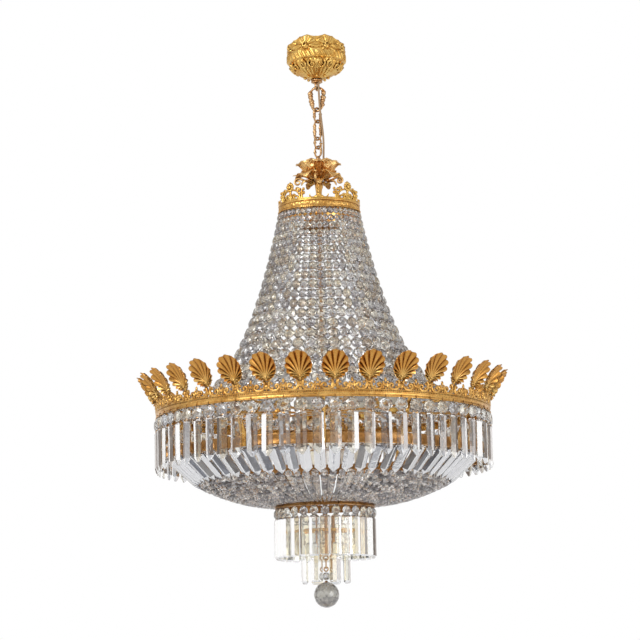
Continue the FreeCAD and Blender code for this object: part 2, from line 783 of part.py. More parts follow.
def long_bar(inner, along, length, width, thick):
    """A crystal bar with a flat back and a ridged front, from the middle of its back's top edge."""
    outward = V(-along.z, 0, along.x)
    side = V(0, width / 2, 0)
    corners = [inner + side, inner + outward * thick, inner - side]
    return Part.Face(Part.makePolygon(corners + corners[:1])).extrude(along * length)


def basket():
    start = V(hoop_radius - hoop_wall / 2, 0, z_hoop_bottom - seat_gap)
    knee = V(bar_end_radius, 0, z_hoop_bottom - bar_end_drop)
    fall = knee - start
    bar = long_bar(start, V(fall).normalize(), fall.Length - seat_gap, bar_width, bar_thick)
    node("basket_bars", *around([bar], skirt_count, palmette_azimuth))
    end = V(bottom_ring_radius + seat_gap, 0, z_low_ring_top - bottom_ring_height / 2)
    run = (end - knee) * (1.0 / basket_beads_per_strand)
    along = V(run).normalize()
    beads = []
    for i in range(basket_beads_per_strand):
        tops = [knee + run * k + V(0, 0, -basket_bow * math.sin(math.pi * k / basket_beads_per_strand))
                for k in (i, i + 1)]
        top = tops[0] + along * bead_gap
        width = 0.5 * 2 * math.pi * top.x / basket_strands
        beads.append(strand_bead(top, tops[1], min(width, 0.8 * run.Length), 0.6 * run.Length))
    node("basket_beads", *around(beads, basket_strands, palmette_azimuth))
    node("bottom_ring", bottom_ring())
    node("bottom_spokes", bottom_spokes())


def bottom_ring():
    outer = bottom_ring_radius
    inner = outer - bottom_ring_wall
    z = z_low_ring_bottom
    h = bottom_ring_height
    return faceted([(inner, z), (outer, z), (outer - 3, z + 0.5 * h), (outer, z + h), (inner, z + h)], 32)


def bottom_spokes():
    """A cross of flat bars on the stem; their ends rest on the bottom ring's upper edge."""
    z = z_low_ring_top
    reach = bottom_ring_radius - bottom_ring_wall / 2
    bar = block(reach, spoke_width, z, z + spoke_thick, reach / 2)
    return hubbed(around([bar], spoke_count, arm_azimuth), spoke_hub_radius, z, z + spoke_hub_height)


# ---------------------------------------------------------------- lower tiers
def lower_tiers():
    radius = bottom_ring_radius - bottom_ring_wall / 2
    z_bead = z_low_ring_bottom - seat_gap
    bead = octagon(radius, z_bead, bottom_bead_size, bottom_bead_thick)
    node("bottom_beads", *around([bead], bottom_count, -90))
    prism = ridge_prism(radius, z_bead - bottom_bead_size - seat_gap, bottom_prism_length,
                        bottom_prism_width, prism_thick, prism_tip)
    node("bottom_prisms", *around([prism], bottom_count, -90))
    node("inner_ring", inner_ring())
    inner = inner_ring_radius - inner_ring_wall / 2
    z_drop = z_inner_bottom - seat_gap
    drop = strand_bead(V(inner, 0, z_drop), V(inner, 0, z_drop - drop_bead_length),
                       drop_bead_width, drop_bead_width)
    node("inner_beads", *around([drop], drop_count, drop_azimuth(0)))
    z_prism = z_drop - drop_bead_length - seat_gap
    prism = ridge_prism(inner, z_prism, drop_prism_length, prism_width, prism_thick, prism_tip)
    for i in range(drop_count):
        node("inner_prism_%d" % (i + 1), turn(prism, drop_azimuth(i)))
    print("inner prism hinge: radius %.3f height %.3f" % (inner, z_prism))


def drop_azimuth(index):
    return -90 + 180.0 / drop_count + 360.0 * index / drop_count


def inner_ring():
    """A small ring on four spokes from a hub on the stem."""
    inner = inner_ring_radius - inner_ring_wall
    z = z_inner_bottom
    ring = faceted([(inner, z), (inner_ring_radius, z), (inner_ring_radius, z_inner_top),
                    (inner, z_inner_top)], 32)
    bar = block(inner + 1, inner_ring_height, z, z_inner_top, (inner + 1) / 2)
    return hubbed([ring] + around([bar], spoke_count, 0), inner_hub_radius, z, z + inner_hub_height)


def stem():
    z_top = z_cup_top - cup_height
    node("centre_stem", tube(stem_radius, stem_bore_radius, z_stem_end, z_top))
    bore = stem_radius + screw_gap
    node("stem_nuts",
         hex_nut(z_ring_top, bore), hex_nut(z_arm_top - arm_thick, bore),
         hex_nut(z_low_ring_top, bore), hex_nut(z_inner_bottom, bore),
         hex_nut(z_ring_bottom - dish_drop - dish_wall, bore))
    end_nut = faceted([(0, z_stem_end), (end_nut_radius, z_stem_end), (end_nut_radius, z_stem_end - 3),
                       (end_nut_radius - 3, z_stem_end - end_nut_height),
                       (0, z_stem_end - end_nut_height)], 8)
    node("stem_eye", end_nut.fuse(eye(z_end_eye, end_eye_radius, hook_wire)).removeSplitter())


def ball_drop():
    node("ball_hook", turn(closed_link(z_hook, hook_pitch, hook_radius, hook_radius, hook_wire), 90))
    z_top = z_hook_bar + hook_wire + seat_gap
    z_ball = z_top - hook_radius
    loop = eye(z_top - hook_radius, hook_radius, hook_wire)
    z_bead = z_ball - hook_radius - hook_wire / 2 - seat_gap
    bead = strand_bead(V(0, 0, z_bead), V(0, 0, z_bead - neck_bead_length), neck_bead_width, neck_bead_width)
    node("ball_loop", loop)
    node("ball_neck_bead", bead)
    z_cap = z_bead - neck_bead_length - seat_gap
    node("ball_cap", faceted([(0, z_cap - ball_cap_height), (ball_cap_radius, z_cap - ball_cap_height),
                              (ball_cap_radius, z_cap), (0, z_cap)], 8))
    node("crystal_ball", crystal_ball(z_cap - ball_cap_height))


def crystal_ball(z_top):
    """A faceted ball: rings of flat facets between a small table and a point."""
    tilts = [8, 35, 62, 90, 118, 145, 172]
    sides = 10
    rings = []
    z_mid = z_top - ball_radius * math.cos(math.radians(tilts[0]))
    for k, tilt in enumerate(tilts):
        a = math.radians(tilt)
        turn_by = 0.5 * (k % 2)
        rings.append([V(ball_radius * math.sin(a) * math.cos(2 * math.pi * (i + turn_by) / sides),
                        ball_radius * math.sin(a) * math.sin(2 * math.pi * (i + turn_by) / sides),
                        z_mid + ball_radius * math.cos(a)) for i in range(sides)])
    points = [p for ring in rings for p in ring]
    faces = [list(range(sides)), list(range(len(points) - sides, len(points)))]
    for k in range(len(tilts) - 1):
        high = k * sides
        low = high + sides
        shift = k % 2
        for i in range(sides):
            j = (i + 1) % sides
            if shift == 0:
                faces += [[high + i, low + i, high + j], [high + j, low + i, low + j]]
            else:
                faces += [[low + i, low + j, high + i], [high + i, low + j, high + j]]
    return polyhedron(points, faces)


# ---------------------------------------------------------------- build
def main():
    ceiling_fitting()
    chain()
    crown()
    tent()
    main_ring()
    skirt()
    basket()
    lower_tiers()
    stem()
    ball_drop()
    os.makedirs("parts", exist_ok=True)
    for name, shape in nodes.items():
        shape.exportStep("parts/%s.step" % name)
    print("%d nodes, %d solids" % (len(nodes), sum(len(s.Solids) for s in nodes.values())))
    print("hinge heights", [round(z, 3) for z in [z_eye_bar] + z_bars + [z_end_bar, z_hook_bar]])


main()
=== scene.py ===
import random
from math import asin, asinh, cos, cosh, degrees, pi, radians, sin, sinh, tan

import bpy
import numpy as np
from mathutils import Matrix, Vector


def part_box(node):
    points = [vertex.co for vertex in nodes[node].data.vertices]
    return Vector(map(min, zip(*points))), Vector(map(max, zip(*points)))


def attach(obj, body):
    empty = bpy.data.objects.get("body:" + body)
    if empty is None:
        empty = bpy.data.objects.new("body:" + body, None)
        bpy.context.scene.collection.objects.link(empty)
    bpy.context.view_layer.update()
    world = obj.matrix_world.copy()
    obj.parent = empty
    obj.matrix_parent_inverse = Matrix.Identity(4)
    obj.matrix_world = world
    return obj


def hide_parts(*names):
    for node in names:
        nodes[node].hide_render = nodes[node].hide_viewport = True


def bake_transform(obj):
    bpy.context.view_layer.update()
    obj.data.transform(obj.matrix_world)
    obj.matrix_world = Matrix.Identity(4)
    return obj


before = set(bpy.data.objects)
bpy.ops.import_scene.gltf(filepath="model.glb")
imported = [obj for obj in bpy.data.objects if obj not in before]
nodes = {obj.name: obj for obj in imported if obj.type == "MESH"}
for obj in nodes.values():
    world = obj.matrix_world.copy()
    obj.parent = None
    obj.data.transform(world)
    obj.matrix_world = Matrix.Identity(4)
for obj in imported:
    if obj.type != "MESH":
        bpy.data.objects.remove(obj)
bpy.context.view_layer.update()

# Lengths are in millimetres until a mesh is made; Blender gets metres.
MM = 0.001
chance = random.Random(41)


# -------- camera and studio
def link(thing):
    bpy.context.collection.objects.link(thing)


def set_camera():
    """Six metres in front, 0.74 m below the main ring, tilted up nine degrees."""
    data = bpy.data.cameras.new("camera")
    data.lens = 151.03
    data.sensor_width = 36.0
    data.clip_end = 60.0
    camera = bpy.data.objects.new("camera", data)
    link(camera)
    camera.matrix_world = (Matrix.Translation((-0.003, -6.0, -1.607))
        @ Matrix.Rotation(radians(90 + 9.06), 4, "X") @ Matrix.Rotation(radians(-1.1), 4, "Z"))
    bpy.context.scene.camera = camera


set_camera()
bpy.context.scene.view_settings.view_transform = "Standard"


class Tree:
    """A node tree with short calls for adding nodes and links."""

    def __init__(self, owner):
        owner.use_nodes = True
        self.tree = owner.node_tree
        self.tree.nodes.clear()

    def add(self, kind, inputs=None, **values):
        made = self.tree.nodes.new(kind)
        for key, value in values.items():
            setattr(made, key, value)
        for key, value in (inputs or {}).items():
            if isinstance(value, bpy.types.NodeSocket):
                self.tree.links.new(value, made.inputs[key])
            else:
                made.inputs[key].default_value = value
        return made

    def ramp(self, factor, stops):
        made = self.add("ShaderNodeValToRGB", {0: factor})
        elements = made.color_ramp.elements
        while len(elements) < len(stops):
            elements.new(0.5)
        for element, (place, colour) in zip(elements, stops):
            element.position = place
            element.color = (*colour, 1) if len(colour) == 3 else (colour[0],) * 3 + (1,)
        return made.outputs[0]

    def mix(self, factor, a, b, blend="MIX"):
        made = self.add("ShaderNodeMix", data_type="RGBA", blend_type=blend)
        for socket, value in ((made.inputs[0], factor), (made.inputs[6], a), (made.inputs[7], b)):
            if isinstance(value, bpy.types.NodeSocket):
                self.tree.links.new(value, socket)
            elif isinstance(value, tuple):
                socket.default_value = (*value, 1)
            else:
                socket.default_value = value
        return made.outputs[2]

    def noise(self, where, scale, detail=3.0, rough=0.55):
        made = self.add("ShaderNodeTexNoise", {"Vector": where, "Scale": scale, "Detail": detail,
            "Roughness": rough})
        return made.outputs["Fac"]


def studio():
    """White to the camera; cards and soft windows in what metal and glass show."""
    world = bpy.data.worlds.new("studio")
    bpy.context.scene.world = world
    t = Tree(world)
    where = t.add("ShaderNodeTexCoord").outputs["Generated"]
    rays = t.add("ShaderNodeLightPath")
    height = t.add("ShaderNodeSeparateXYZ", {0: where}).outputs["Z"]
    level = t.add("ShaderNodeMath", {0: height}, operation="ABSOLUTE").outputs[0]
    walls = t.ramp(level, [(0.22, (1.0,)), (0.42, (0.0,))])
    cards = t.ramp(t.noise(where, 2.6, 2.0, 0.5),
        [(0.0, (0.08, 0.06, 0.05)), (0.40, (0.17, 0.14, 0.12)), (0.49, (0.66, 0.62, 0.60)),
        (0.56, (1.0, 0.99, 0.98)), (1.0, (1.0, 1.0, 1.0))])
    dim = t.ramp(t.noise(where, 7.0, 3.0, 0.6),
        [(0.0, (0.05, 0.045, 0.05)), (0.42, (0.13, 0.11, 0.12)), (0.50, (0.42, 0.38, 0.40)),
        (0.57, (1.0, 0.98, 0.97)), (1.0, (1.0, 1.0, 1.0))])
    pale = t.ramp(t.noise(where, 9.0, 2.0, 0.5),
        [(0.0, (0.46, 0.45, 0.42)), (0.40, (0.72, 0.74, 0.78)), (0.47, (1.0, 1.0, 1.0)),
        (0.60, (1.0, 1.0, 0.98)), (1.0, (1.0, 0.95, 0.82))])
    grey = t.ramp(t.noise(where, 11.0, 2.0, 0.5),
        [(0.0, (0.16, 0.15, 0.16)), (0.43, (0.30, 0.29, 0.31)), (0.50, (0.74, 0.73, 0.72)),
        (0.57, (1.0, 1.0, 0.98)), (1.0, (1.0, 0.95, 0.85))])
    pale = t.mix(t.ramp(height, [(0.080, (0.0,)), (0.110, (1.0,))]), pale, grey)
    bent = t.mix(walls, dim, pale)
    seen = t.mix(rays.outputs["Is Glossy Ray"], (0.78, 0.78, 0.79), cards)
    seen = t.mix(rays.outputs["Is Transmission Ray"], seen, bent)
    seen = t.mix(rays.outputs["Is Camera Ray"], seen, (1.0, 1.0, 1.0))
    light = t.add("ShaderNodeBackground", {"Color": seen, "Strength": 1.0})
    t.add("ShaderNodeOutputWorld", {"Surface": light.outputs[0]})
    for name, place, turn, size, power in (("key", (-2.2, -2.6, 0.6), (62, 0, -40), 1.6, 42),
            ("fill", (2.6, -2.0, -1.4), (96, 0, 52), 1.6, 16)):
        data = bpy.data.lights.new(name, "AREA")
        data.size = size
        data.energy = power
        lamp = bpy.data.objects.new(name, data)
        link(lamp)
        lamp.location = place
        lamp.rotation_euler = [radians(a) for a in turn]


studio()


# -------- materials
def shader(name, kind, *look):
    material = bpy.data.materials.new(name)
    t = Tree(material)
    where = t.add("ShaderNodeTexCoord").outputs["Object"]
    surface = kind(t, where, *look)
    t.add("ShaderNodeOutputMaterial", {"Surface": surface.outputs[0]})
    return material


def metal(t, where, bright, middle, recess_shade, rough, reach=0.006, tip=None):
    """Cast metal: bright where worn, darker in patches, with painted shade in recesses as deep as
    reach.

    tip is (low z, high z, colour): in metres, from where to where the metal takes that colour, a
    painted shade that darkens it towards the top.
    """
    patches = t.noise(where, 55.0, 4.0)
    colour = t.ramp(patches, [(0.36, middle), (0.60, bright)])
    # Painted shade: between the tip heights the colour turns darker towards the top.
    if tip:
        height = t.add("ShaderNodeSeparateXYZ", {0: where}).outputs["Z"]
        high_up = t.add("ShaderNodeMapRange", {"Value": height, "From Min": tip[0],
            "From Max": tip[1]})
        share = t.ramp(high_up.outputs[0], [(0.25, (0.0,)), (0.60, (0.85,))])
        colour = t.mix(share, colour, tip[2])
    tarnish = t.ramp(t.noise(where, 260.0, 3.0), [(0.40, (0.0,)), (0.72, (0.45,))])
    colour = t.mix(tarnish, colour, middle)
    # Painted shade: ambient occlusion pulls the colour towards recess_shade in recesses as deep as
    # reach.
    recess_occlusion = t.add("ShaderNodeAmbientOcclusion", {"Distance": reach}, samples=6)
    depth = t.ramp(recess_occlusion.outputs["AO"], [(0.30, (1.0,)), (0.85, (0.0,))])
    colour = t.mix(depth, colour, recess_shade)
    gloss = t.ramp(t.noise(where, 140.0, 3.0), [(0.3, (rough * 0.7,)), (0.7, (rough * 1.5,))])
    dents = t.add("ShaderNodeBump", {"Height": t.noise(where, 700.0, 4.0), "Strength": 0.25,
        "Distance": 0.0006})
    return t.add("ShaderNodeBsdfPrincipled", {"Base Color": colour, "Metallic": 1.0,
        "Roughness": gloss, "Normal": dents.outputs[0]})


MIXED = [(0.0, (0.58, 0.58, 0.62)), (0.25, (0.84, 0.87, 0.94)), (0.5, (1.0, 1.0, 0.98)),
    (0.75, (0.98, 0.93, 0.80)), (1.0, (0.66, 0.58, 0.50))]
LIGHT = [(0.0, (0.80, 0.85, 0.94)), (0.3, (1.0, 1.0, 1.0)),
    (0.7, (1.0, 0.97, 0.86)), (1.0, (0.96, 0.86, 0.70))]
# Painted glints and painted dark specks: each basket bead takes a tone from near black to white.
PAINTED_SPARKLE = [(0.0, (0.10, 0.09, 0.10)), (0.28, (0.34, 0.32, 0.34)),
    (0.42, (0.80, 0.80, 0.82)), (0.55, (1.0, 1.0, 1.0)),
    (0.85, (1.0, 0.98, 0.94)), (1.0, (0.50, 0.42, 0.36))]


def crystal(t, where, index, haze, deep=(1.0, 0.98, 0.93), tones=MIXED, rim=0.52, clear=1.0,
        coat=1.0):
    """Lead crystal: each cut piece has its own faint tint, with painted shade where its facets turn
    away from the view.

    clear below 1 lets less light through, coat adds a sharper reflection on top.
    """
    tone = t.add("ShaderNodeAttribute", attribute_name="tone").outputs["Fac"]
    tint = t.ramp(tone, tones)
    # Painted shade: the facing weight darkens the colour from deep to rim and then to dark grey where
    # facets turn away.
    turn = t.add("ShaderNodeLayerWeight", {"Blend": 0.5}).outputs["Facing"]
    edge = t.ramp(turn, [(0.0, deep), (0.20, tuple(0.90 * v for v in deep)),
        (0.60, tuple(rim * v for v in deep)), (1.0, (0.22, 0.21, 0.22))])
    tint = t.mix(1.0, tint, edge, "MULTIPLY")
    dust = t.ramp(t.noise(where, 90.0, 3.0), [(0.35, (0.0,)), (0.8, (haze,))])
    wave = t.add("ShaderNodeBump", {"Height": t.noise(where, 110.0, 2.0), "Strength": 0.10,
        "Distance": 0.001})
    return t.add("ShaderNodeBsdfPrincipled", {"Base Color": tint, "Roughness": dust,
        "IOR": index, "Transmission Weight": clear,
        "Coat Weight": coat, "Coat IOR": 1.7, "Coat Roughness": 0.02, "Normal": wave.outputs[0]})


def plain(t, where, colour, darker, rough, scale=120.0, through=0.0):
    shade = t.ramp(t.noise(where, scale, 4.0), [(0.35, darker), (0.65, colour)])
    gloss = t.ramp(t.noise(where, scale * 2, 3.0), [(0.3, (rough * 0.8,)), (0.7, (rough * 1.3,))])
    grain = t.add("ShaderNodeBump", {"Height": t.noise(where, scale * 6, 3.0), "Strength": 0.2,
        "Distance": 0.0003})
    return t.add("ShaderNodeBsdfPrincipled", {"Base Color": shade, "Roughness": gloss,
        "Transmission Weight": through, "Normal": grain.outputs[0]})


GILT = shader("gilt_brass", metal, (0.92, 0.62, 0.19), (0.70, 0.36, 0.07), (0.20, 0.08, 0.015), 0.22)
# fan_gilt paints shade on the palmettes, darker towards their tops, and deeper painted shade in
# recesses.
FAN_GILT = shader("fan_gilt", metal, (0.98, 0.68, 0.25), (0.72, 0.40, 0.10), (0.11, 0.035, 0.01),
    0.25, 0.012, (-0.8367, -0.7917, (0.56, 0.25, 0.05)))
RING_GILT = shader("ring_gilt", metal, (0.88, 0.54, 0.17), (0.62, 0.32, 0.08), (0.16, 0.06, 0.015),
    0.24)
BRONZE = shader("antique_brass", metal, (0.80, 0.52, 0.26), (0.50, 0.28, 0.13), (0.10, 0.05, 0.02),
    0.28)
LEAF = shader("leaf_bronze", metal, (0.98, 0.66, 0.27), (0.72, 0.42, 0.16), (0.16, 0.07, 0.025),
    0.27, 0.003)
# Painted shade: a darker copy of the gilt for the stem, crown dish, lower hoop and bottom ring, which
# sit in shade.
SHADED_GILT = shader("shaded_gilt", metal, (0.60, 0.33, 0.12), (0.34, 0.16, 0.05), (0.08, 0.035, 0.015), 0.30)
STEEL = shader("zinc_steel", metal, (0.72, 0.73, 0.74), (0.55, 0.56, 0.57), (0.20, 0.20, 0.20), 0.35)
CRYSTAL = shader("crystal", crystal, 1.56, 0.10)
BAR_CRYSTAL = shader("bar_crystal", crystal, 1.60, 0.04, (1.0, 1.0, 0.97), MIXED, 0.62)
# The dark grey body colour of the hoop crystals is painted shade.
HOOP_CRYSTAL = shader("hoop_crystal", crystal, 1.52, 0.10, (0.34, 0.35, 0.39), MIXED, 0.6, 0.75, 0.0)
DROP_CRYSTAL = shader("drop_crystal", crystal, 1.58, 0.03, (1.0, 1.0, 0.98), LIGHT, 0.70)
BASKET_CRYSTAL = shader("basket_crystal", crystal, 1.56, 0.05, (1.0, 0.98, 0.95), PAINTED_SPARKLE, 0.95)
# The dark grey body colour of the crystal ball is painted shade.
BALL_CRYSTAL = shader("ball_crystal", crystal, 1.62, 0.02, (0.44, 0.44, 0.43))
BULB = shader("bulb_glass", plain, (0.96, 0.95, 0.93), (0.92, 0.90, 0.88), 0.35, 60.0, 0.5)
SLEEVE = shader("candle_sleeve", plain, (0.90, 0.86, 0.74), (0.84, 0.79, 0.66), 0.5)
PLASTIC = shader("terminal_plastic", plain, (0.86, 0.85, 0.80), (0.80, 0.79, 0.74), 0.45)
FLEX = shader("flex_sheath", plain, (0.42, 0.27, 0.14), (0.33, 0.20, 0.10), 0.45, 200.0)


# -------- meshes
def make(name, items, material, slot, replaced=(), crease=40, body="chandelier"):
    """One piece from (points, faces) items; crease 0 keeps every facet flat."""
    points = []
    faces = []
    tones = []
    base = 0
    for p, f in items:
        p = np.asarray(p, float)
        points.append(p)
        faces += [[base + i for i in face] for face in f]
        tones += [chance.random()] * len(p)
        base += len(p)
    mesh = bpy.data.meshes.new(name)
    mesh.from_pydata((np.concatenate(points) * MM).tolist(), [], faces)
    mesh.attributes.new("tone", "FLOAT", "POINT").data.foreach_set("value", tones)
    if crease:
        mesh.polygons.foreach_set("use_smooth", [True] * len(mesh.polygons))
        mesh.set_sharp_from_angle(angle=radians(crease))
    mesh.materials.append(material)
    piece = bpy.data.objects.new(name, mesh)
    link(piece)
    if body:
        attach(piece, body)
    if replaced:
        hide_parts(*replaced)
    return piece


def turned(item, azimuth):
    """An item turned about Z; what is made along +X comes to that azimuth."""
    p, f = item
    a = radians(azimuth)
    p = np.asarray(p, float)
    x = p[:, 0] * cos(a) - p[:, 1] * sin(a)
    y = p[:, 0] * sin(a) + p[:, 1] * cos(a)
    return np.stack([x, y, p[:, 2]], 1), f


def around(items, count, azimuth=0.0):
    return [turned(item, azimuth + 360.0 * i / count) for i in range(count) for item in items]


def moved(item, shift):
    return np.asarray(item[0], float) + np.asarray(shift, float), item[1]


def hung(item, radius, z, azimuth):
    """An item made at the origin, brought to its place on a ring."""
    return turned(moved(item, (radius, 0, z)), azimuth)


def grid_faces(rows, columns, wrap_rows, wrap_columns):
    faces = []
    for i in range(rows if wrap_rows else rows - 1):
        for j in range(columns if wrap_columns else columns - 1):
            a, b = i * columns + j, i * columns + (j + 1) % columns
            c, d = (i + 1) % rows * columns + j, (i + 1) % rows * columns + (j + 1) % columns
            faces.append([a, b, d, c])
    return faces


def revolve(profile, segments, relief=None, closed=True):
    """A turned form from (radius, height) pairs; relief(angle, r, z) pushes its surface out."""
    r = np.array([p[0] for p in profile], float)[:, None]
    z = np.array([p[1] for p in profile], float)[:, None]
    a = np.linspace(0, 2 * pi, segments, endpoint=False)[None, :]
    r, z, a = np.broadcast_arrays(r, z, a)
    out = r + (relief(a, r, z) if relief else 0.0)
    points = np.stack([out * np.cos(a), out * np.sin(a), z], 2).reshape(-1, 3)
    faces = grid_faces(len(profile), segments, closed, True)
    if not closed:
        last = (len(profile) - 1) * segments
        faces += [list(range(segments))[::-1], list(range(last, last + segments))]
    return points, faces


def frames(path, closed):
    """Two directions square to a path at each of its points, carried along it without twist."""
    path = np.asarray(path, float)
    if closed:
        along = np.roll(path, -1, 0) - np.roll(path, 1, 0)
    else:
        along = np.gradient(path, axis=0)
    along /= np.linalg.norm(along, axis=1)[:, None]
    first = np.cross(along[0], (0.0, 0.0, 1.0))
    if np.linalg.norm(first) < 0.1:
        first = np.cross(along[0], (0.0, 1.0, 0.0))
    side = [first / np.linalg.norm(first)]
    for t in along[1:]:
        s = side[-1] - t * np.dot(side[-1], t)
        side.append(s / np.linalg.norm(s))
    side = np.array(side)
    return side, np.cross(along, side)


def tube(path, radius, sides=8, closed=False, flat=1.0, twist=0.0):
    """A bar along a path; radius may change along it, flat thins it, twist turns its section."""
    path = np.asarray(path, float)
    side, up = frames(path, closed)
    radius = np.broadcast_to(np.asarray(radius, float), (len(path),))
    points = []
    for k in range(len(path)):
        for i in range(sides):
            a = 2 * pi * i / sides
            u, v = cos(a), flat * sin(a)
            w = twist * 2 * pi * k / len(path)
            u, v = u * cos(w) - v * sin(w), u * sin(w) + v * cos(w)
            points.append(path[k] + radius[k] * (u * side[k] + v * up[k]))
    faces = grid_faces(len(path), sides, closed, True)
    if not closed:
        last = (len(path) - 1) * sides
        faces += [list(range(sides))[::-1], list(range(last, last + sides))]
    return np.array(points), faces


def tapered(path, start, end, sides):
    """A bar whose radius goes evenly from start to end."""
    return tube(path, np.linspace(start, end, len(path)), sides)


def circle(x, z, radius, count):
    """The points of a ring in the XZ plane."""
    return [(x + radius * cos(a), 0, z + radius * sin(a))
        for a in np.linspace(0, 2 * pi, count, False)]


def smooth(points, steps=5):
    """A curve through given points of an ornament."""
    p = np.asarray(points, float)
    p = np.vstack([2 * p[0] - p[1], p, 2 * p[-1] - p[-2]])
    out = []
    for a, b, c, d in zip(p, p[1:], p[2:], p[3:]):
        for k in range(steps):
            t = k / steps
            out.append(0.5 * (2 * b + (c - a) * t + (2 * a - 5 * b + 4 * c - d) * t * t
                + (3 * b - a - 3 * c + d) * t ** 3))
    out.append(p[-2])
    return np.array(out)


def spiral(centre, start, sweep, outer, inner, count=26):
    """Points of a volute in a plane: (across, up) pairs from its outer to its inner end."""
    t = np.linspace(0, 1, count)
    a = np.radians(start + sweep * t)
    r = outer + (inner - outer) * t ** 0.8
    return np.stack([centre[0] + r * np.cos(a), centre[1] + r * np.sin(a)], 1)


def on_drum(flat, radius, z, lift=0.0):
    """(across, up) points wrapped on a drum's face at azimuth 0."""
    flat = np.asarray(flat, float)
    a = flat[:, 0] / radius
    r = radius + lift
    return np.stack([r * np.cos(a), r * np.sin(a), z + flat[:, 1]], 1)


def ball(centre, radius, rings=5, segments=8):
    """A small turned knob; radius may be (x, y, z)."""
    rx, ry, rz = (radius,) * 3 if np.isscalar(radius) else radius
    tilts = np.linspace(0.22, pi - 0.22, rings)
    points = [(rx * sin(b) * cos(a), ry * sin(b) * sin(a), rz * cos(b))
        for b in tilts for a in np.linspace(0, 2 * pi, segments, endpoint=False)]
    faces = grid_faces(rings, segments, False, True)
    last = (rings - 1) * segments
    faces += [list(range(segments))[::-1], list(range(last, last + segments))]
    return np.array(points) + np.asarray(centre, float), faces


def shell(surface, thick):
    """A closed sheet of that thickness from a grid of surface points."""
    surface = np.asarray(surface, float)
    n, m = surface.shape[:2]
    normal = np.cross(np.gradient(surface, axis=0), np.gradient(surface, axis=1))
    normal /= np.maximum(np.linalg.norm(normal, axis=2)[:, :, None], 1e-9)
    back = surface + normal * thick
    points = np.concatenate([surface.reshape(-1, 3), back.reshape(-1, 3)])
    front = grid_faces(n, m, False, False)
    size = n * m
    faces = [f[::-1] for f in front] + [[i + size for i in f] for f in front]
    rim = ([j for j in range(m)] + [i * m + m - 1 for i in range(1, n)]
        + [(n - 1) * m + j for j in range(m - 2, -1, -1)] + [i * m for i in range(n - 2, 0, -1)])
    for a, b in zip(rim, rim[1:] + rim[:1]):
        faces.append([a, b, b + size, a + size])
    return points, faces


# -------- crystal cuts
def cut_bead(width, height, depth, rich=False, sides=8):
    """A cut bead facing +X: girdle, crown facets and a table on both faces."""
    levels = [(1.0, 0.0, 0.0)]
    levels += [(0.78, 0.62, 0.5), (0.44, 1.0, 0.0)] if rich else [(0.55, 1.0, 0.5)]
    points = []
    faces = []
    for face in (1, -1):
        rings = []
        for reach, out, shift in levels:
            ring = []
            for i in range(sides):
                a = 2 * pi * (i + 0.5 + shift) / sides
                ring.append(len(points))
                points.append((face * (0.04 + 0.46 * out) * depth, reach * width / 2 * cos(a),
                    reach * height / 2 * sin(a)))
            rings.append(ring)
        for low, high in zip(rings, rings[1:]):
            odd = rings.index(low) % 2
            for i in range(sides):
                j = (i + 1) % sides
                if odd:
                    pair = [[low[i], high[j], high[i]], [low[i], low[j], high[j]]]
                else:
                    pair = [[low[i], low[j], high[i]], [low[j], high[j], high[i]]]
                faces += pair if face > 0 else [f[::-1] for f in pair]
        faces.append(rings[-1] if face > 0 else rings[-1][::-1])
        if face > 0:
            front = rings[0]
        else:
            for i in range(sides):
                j = (i + 1) % sides
                faces.append([front[j], front[i], rings[0][i], rings[0][j]])
    return np.array(points), faces


def placed(item, at, along):
    """A bead in the XZ plane whose Z axis is laid along a direction, its face outwards."""
    p = np.asarray(item[0], float)
    along = np.asarray(along, float)
    out = np.array((-along[2], 0.0, along[0]))
    side = p[:, 1:2] * np.array((0, 1.0, 0))
    return np.asarray(at, float) + p[:, :1] * out + side - p[:, 2:] * along, item[1]


def cut_prism(length, width, thick, tip, ridge=0.0, blunt=0.10, table=0.6):
    """A hanging prism facing +X, top at the origin: bevelled head and sides, a table, a point."""
    w, t = width / 2, thick / 2
    section = [(-w, -0.35 * t), (-0.84 * w, -t), (0.84 * w, -t), (w, -0.35 * t), (w, 0.1 * t),
        ((ridge + table) * w, t), ((ridge - table) * w, t), (-w, 0.1 * t)]
    levels = [(0.0, 0.72, 0.55), (-3.4, 1.0, 1.0), (tip - length, 1.0, 1.0), (-length, blunt, 0.40)]
    points = [(y_x[1] * deep, y_x[0] * wide, z) for z, wide, deep in levels for y_x in section]
    n = len(section)
    faces = [f[::-1] for f in grid_faces(len(levels), n, False, True)]
    last = (len(levels) - 1) * n
    faces += [list(range(n)), list(range(last, last + n))[::-1]]
    return np.array(points), faces


def wire(a, b, thick=0.55, bow=0.0):
    """A short bent pin between two crystals."""
    a, b = np.asarray(a, float), np.asarray(b, float)
    middle = (a + b) / 2 + np.array((bow, 0, 0))
    return tube([a, middle, b], thick, 5)


# -------- places from the model
def low(name):
    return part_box(name)[0][2] / MM


def high(name):
    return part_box(name)[1][2] / MM


def span(name):
    return low(name), high(name)


RING_FACE = 374.0        # radius of the band that carries frieze and skirt
BAND_TOP = high("main_ring")
BAND_LOW = low("main_ring")
HOOP_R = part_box("lower_hoop")[1][0] / MM
FRONT = -86.0            # azimuth of the palmette next to the front
BAYS = 32                # palmettes, and bays of the frieze
SKIRT = 64               # octagons, prisms and bars
COLLAR_FOOT = -101.0     # height at which the flex leaves the collar
# heights of the five hinges of the chain
CHAIN_HINGES = [-116.5, -165.2, -193.05, -232.95, -253.95]
INNER_HINGE = -1156.15   # height of the pins of the inner prisms
LAMP_CIRCLE = 160.0      # radius of the circle the lamps stand on


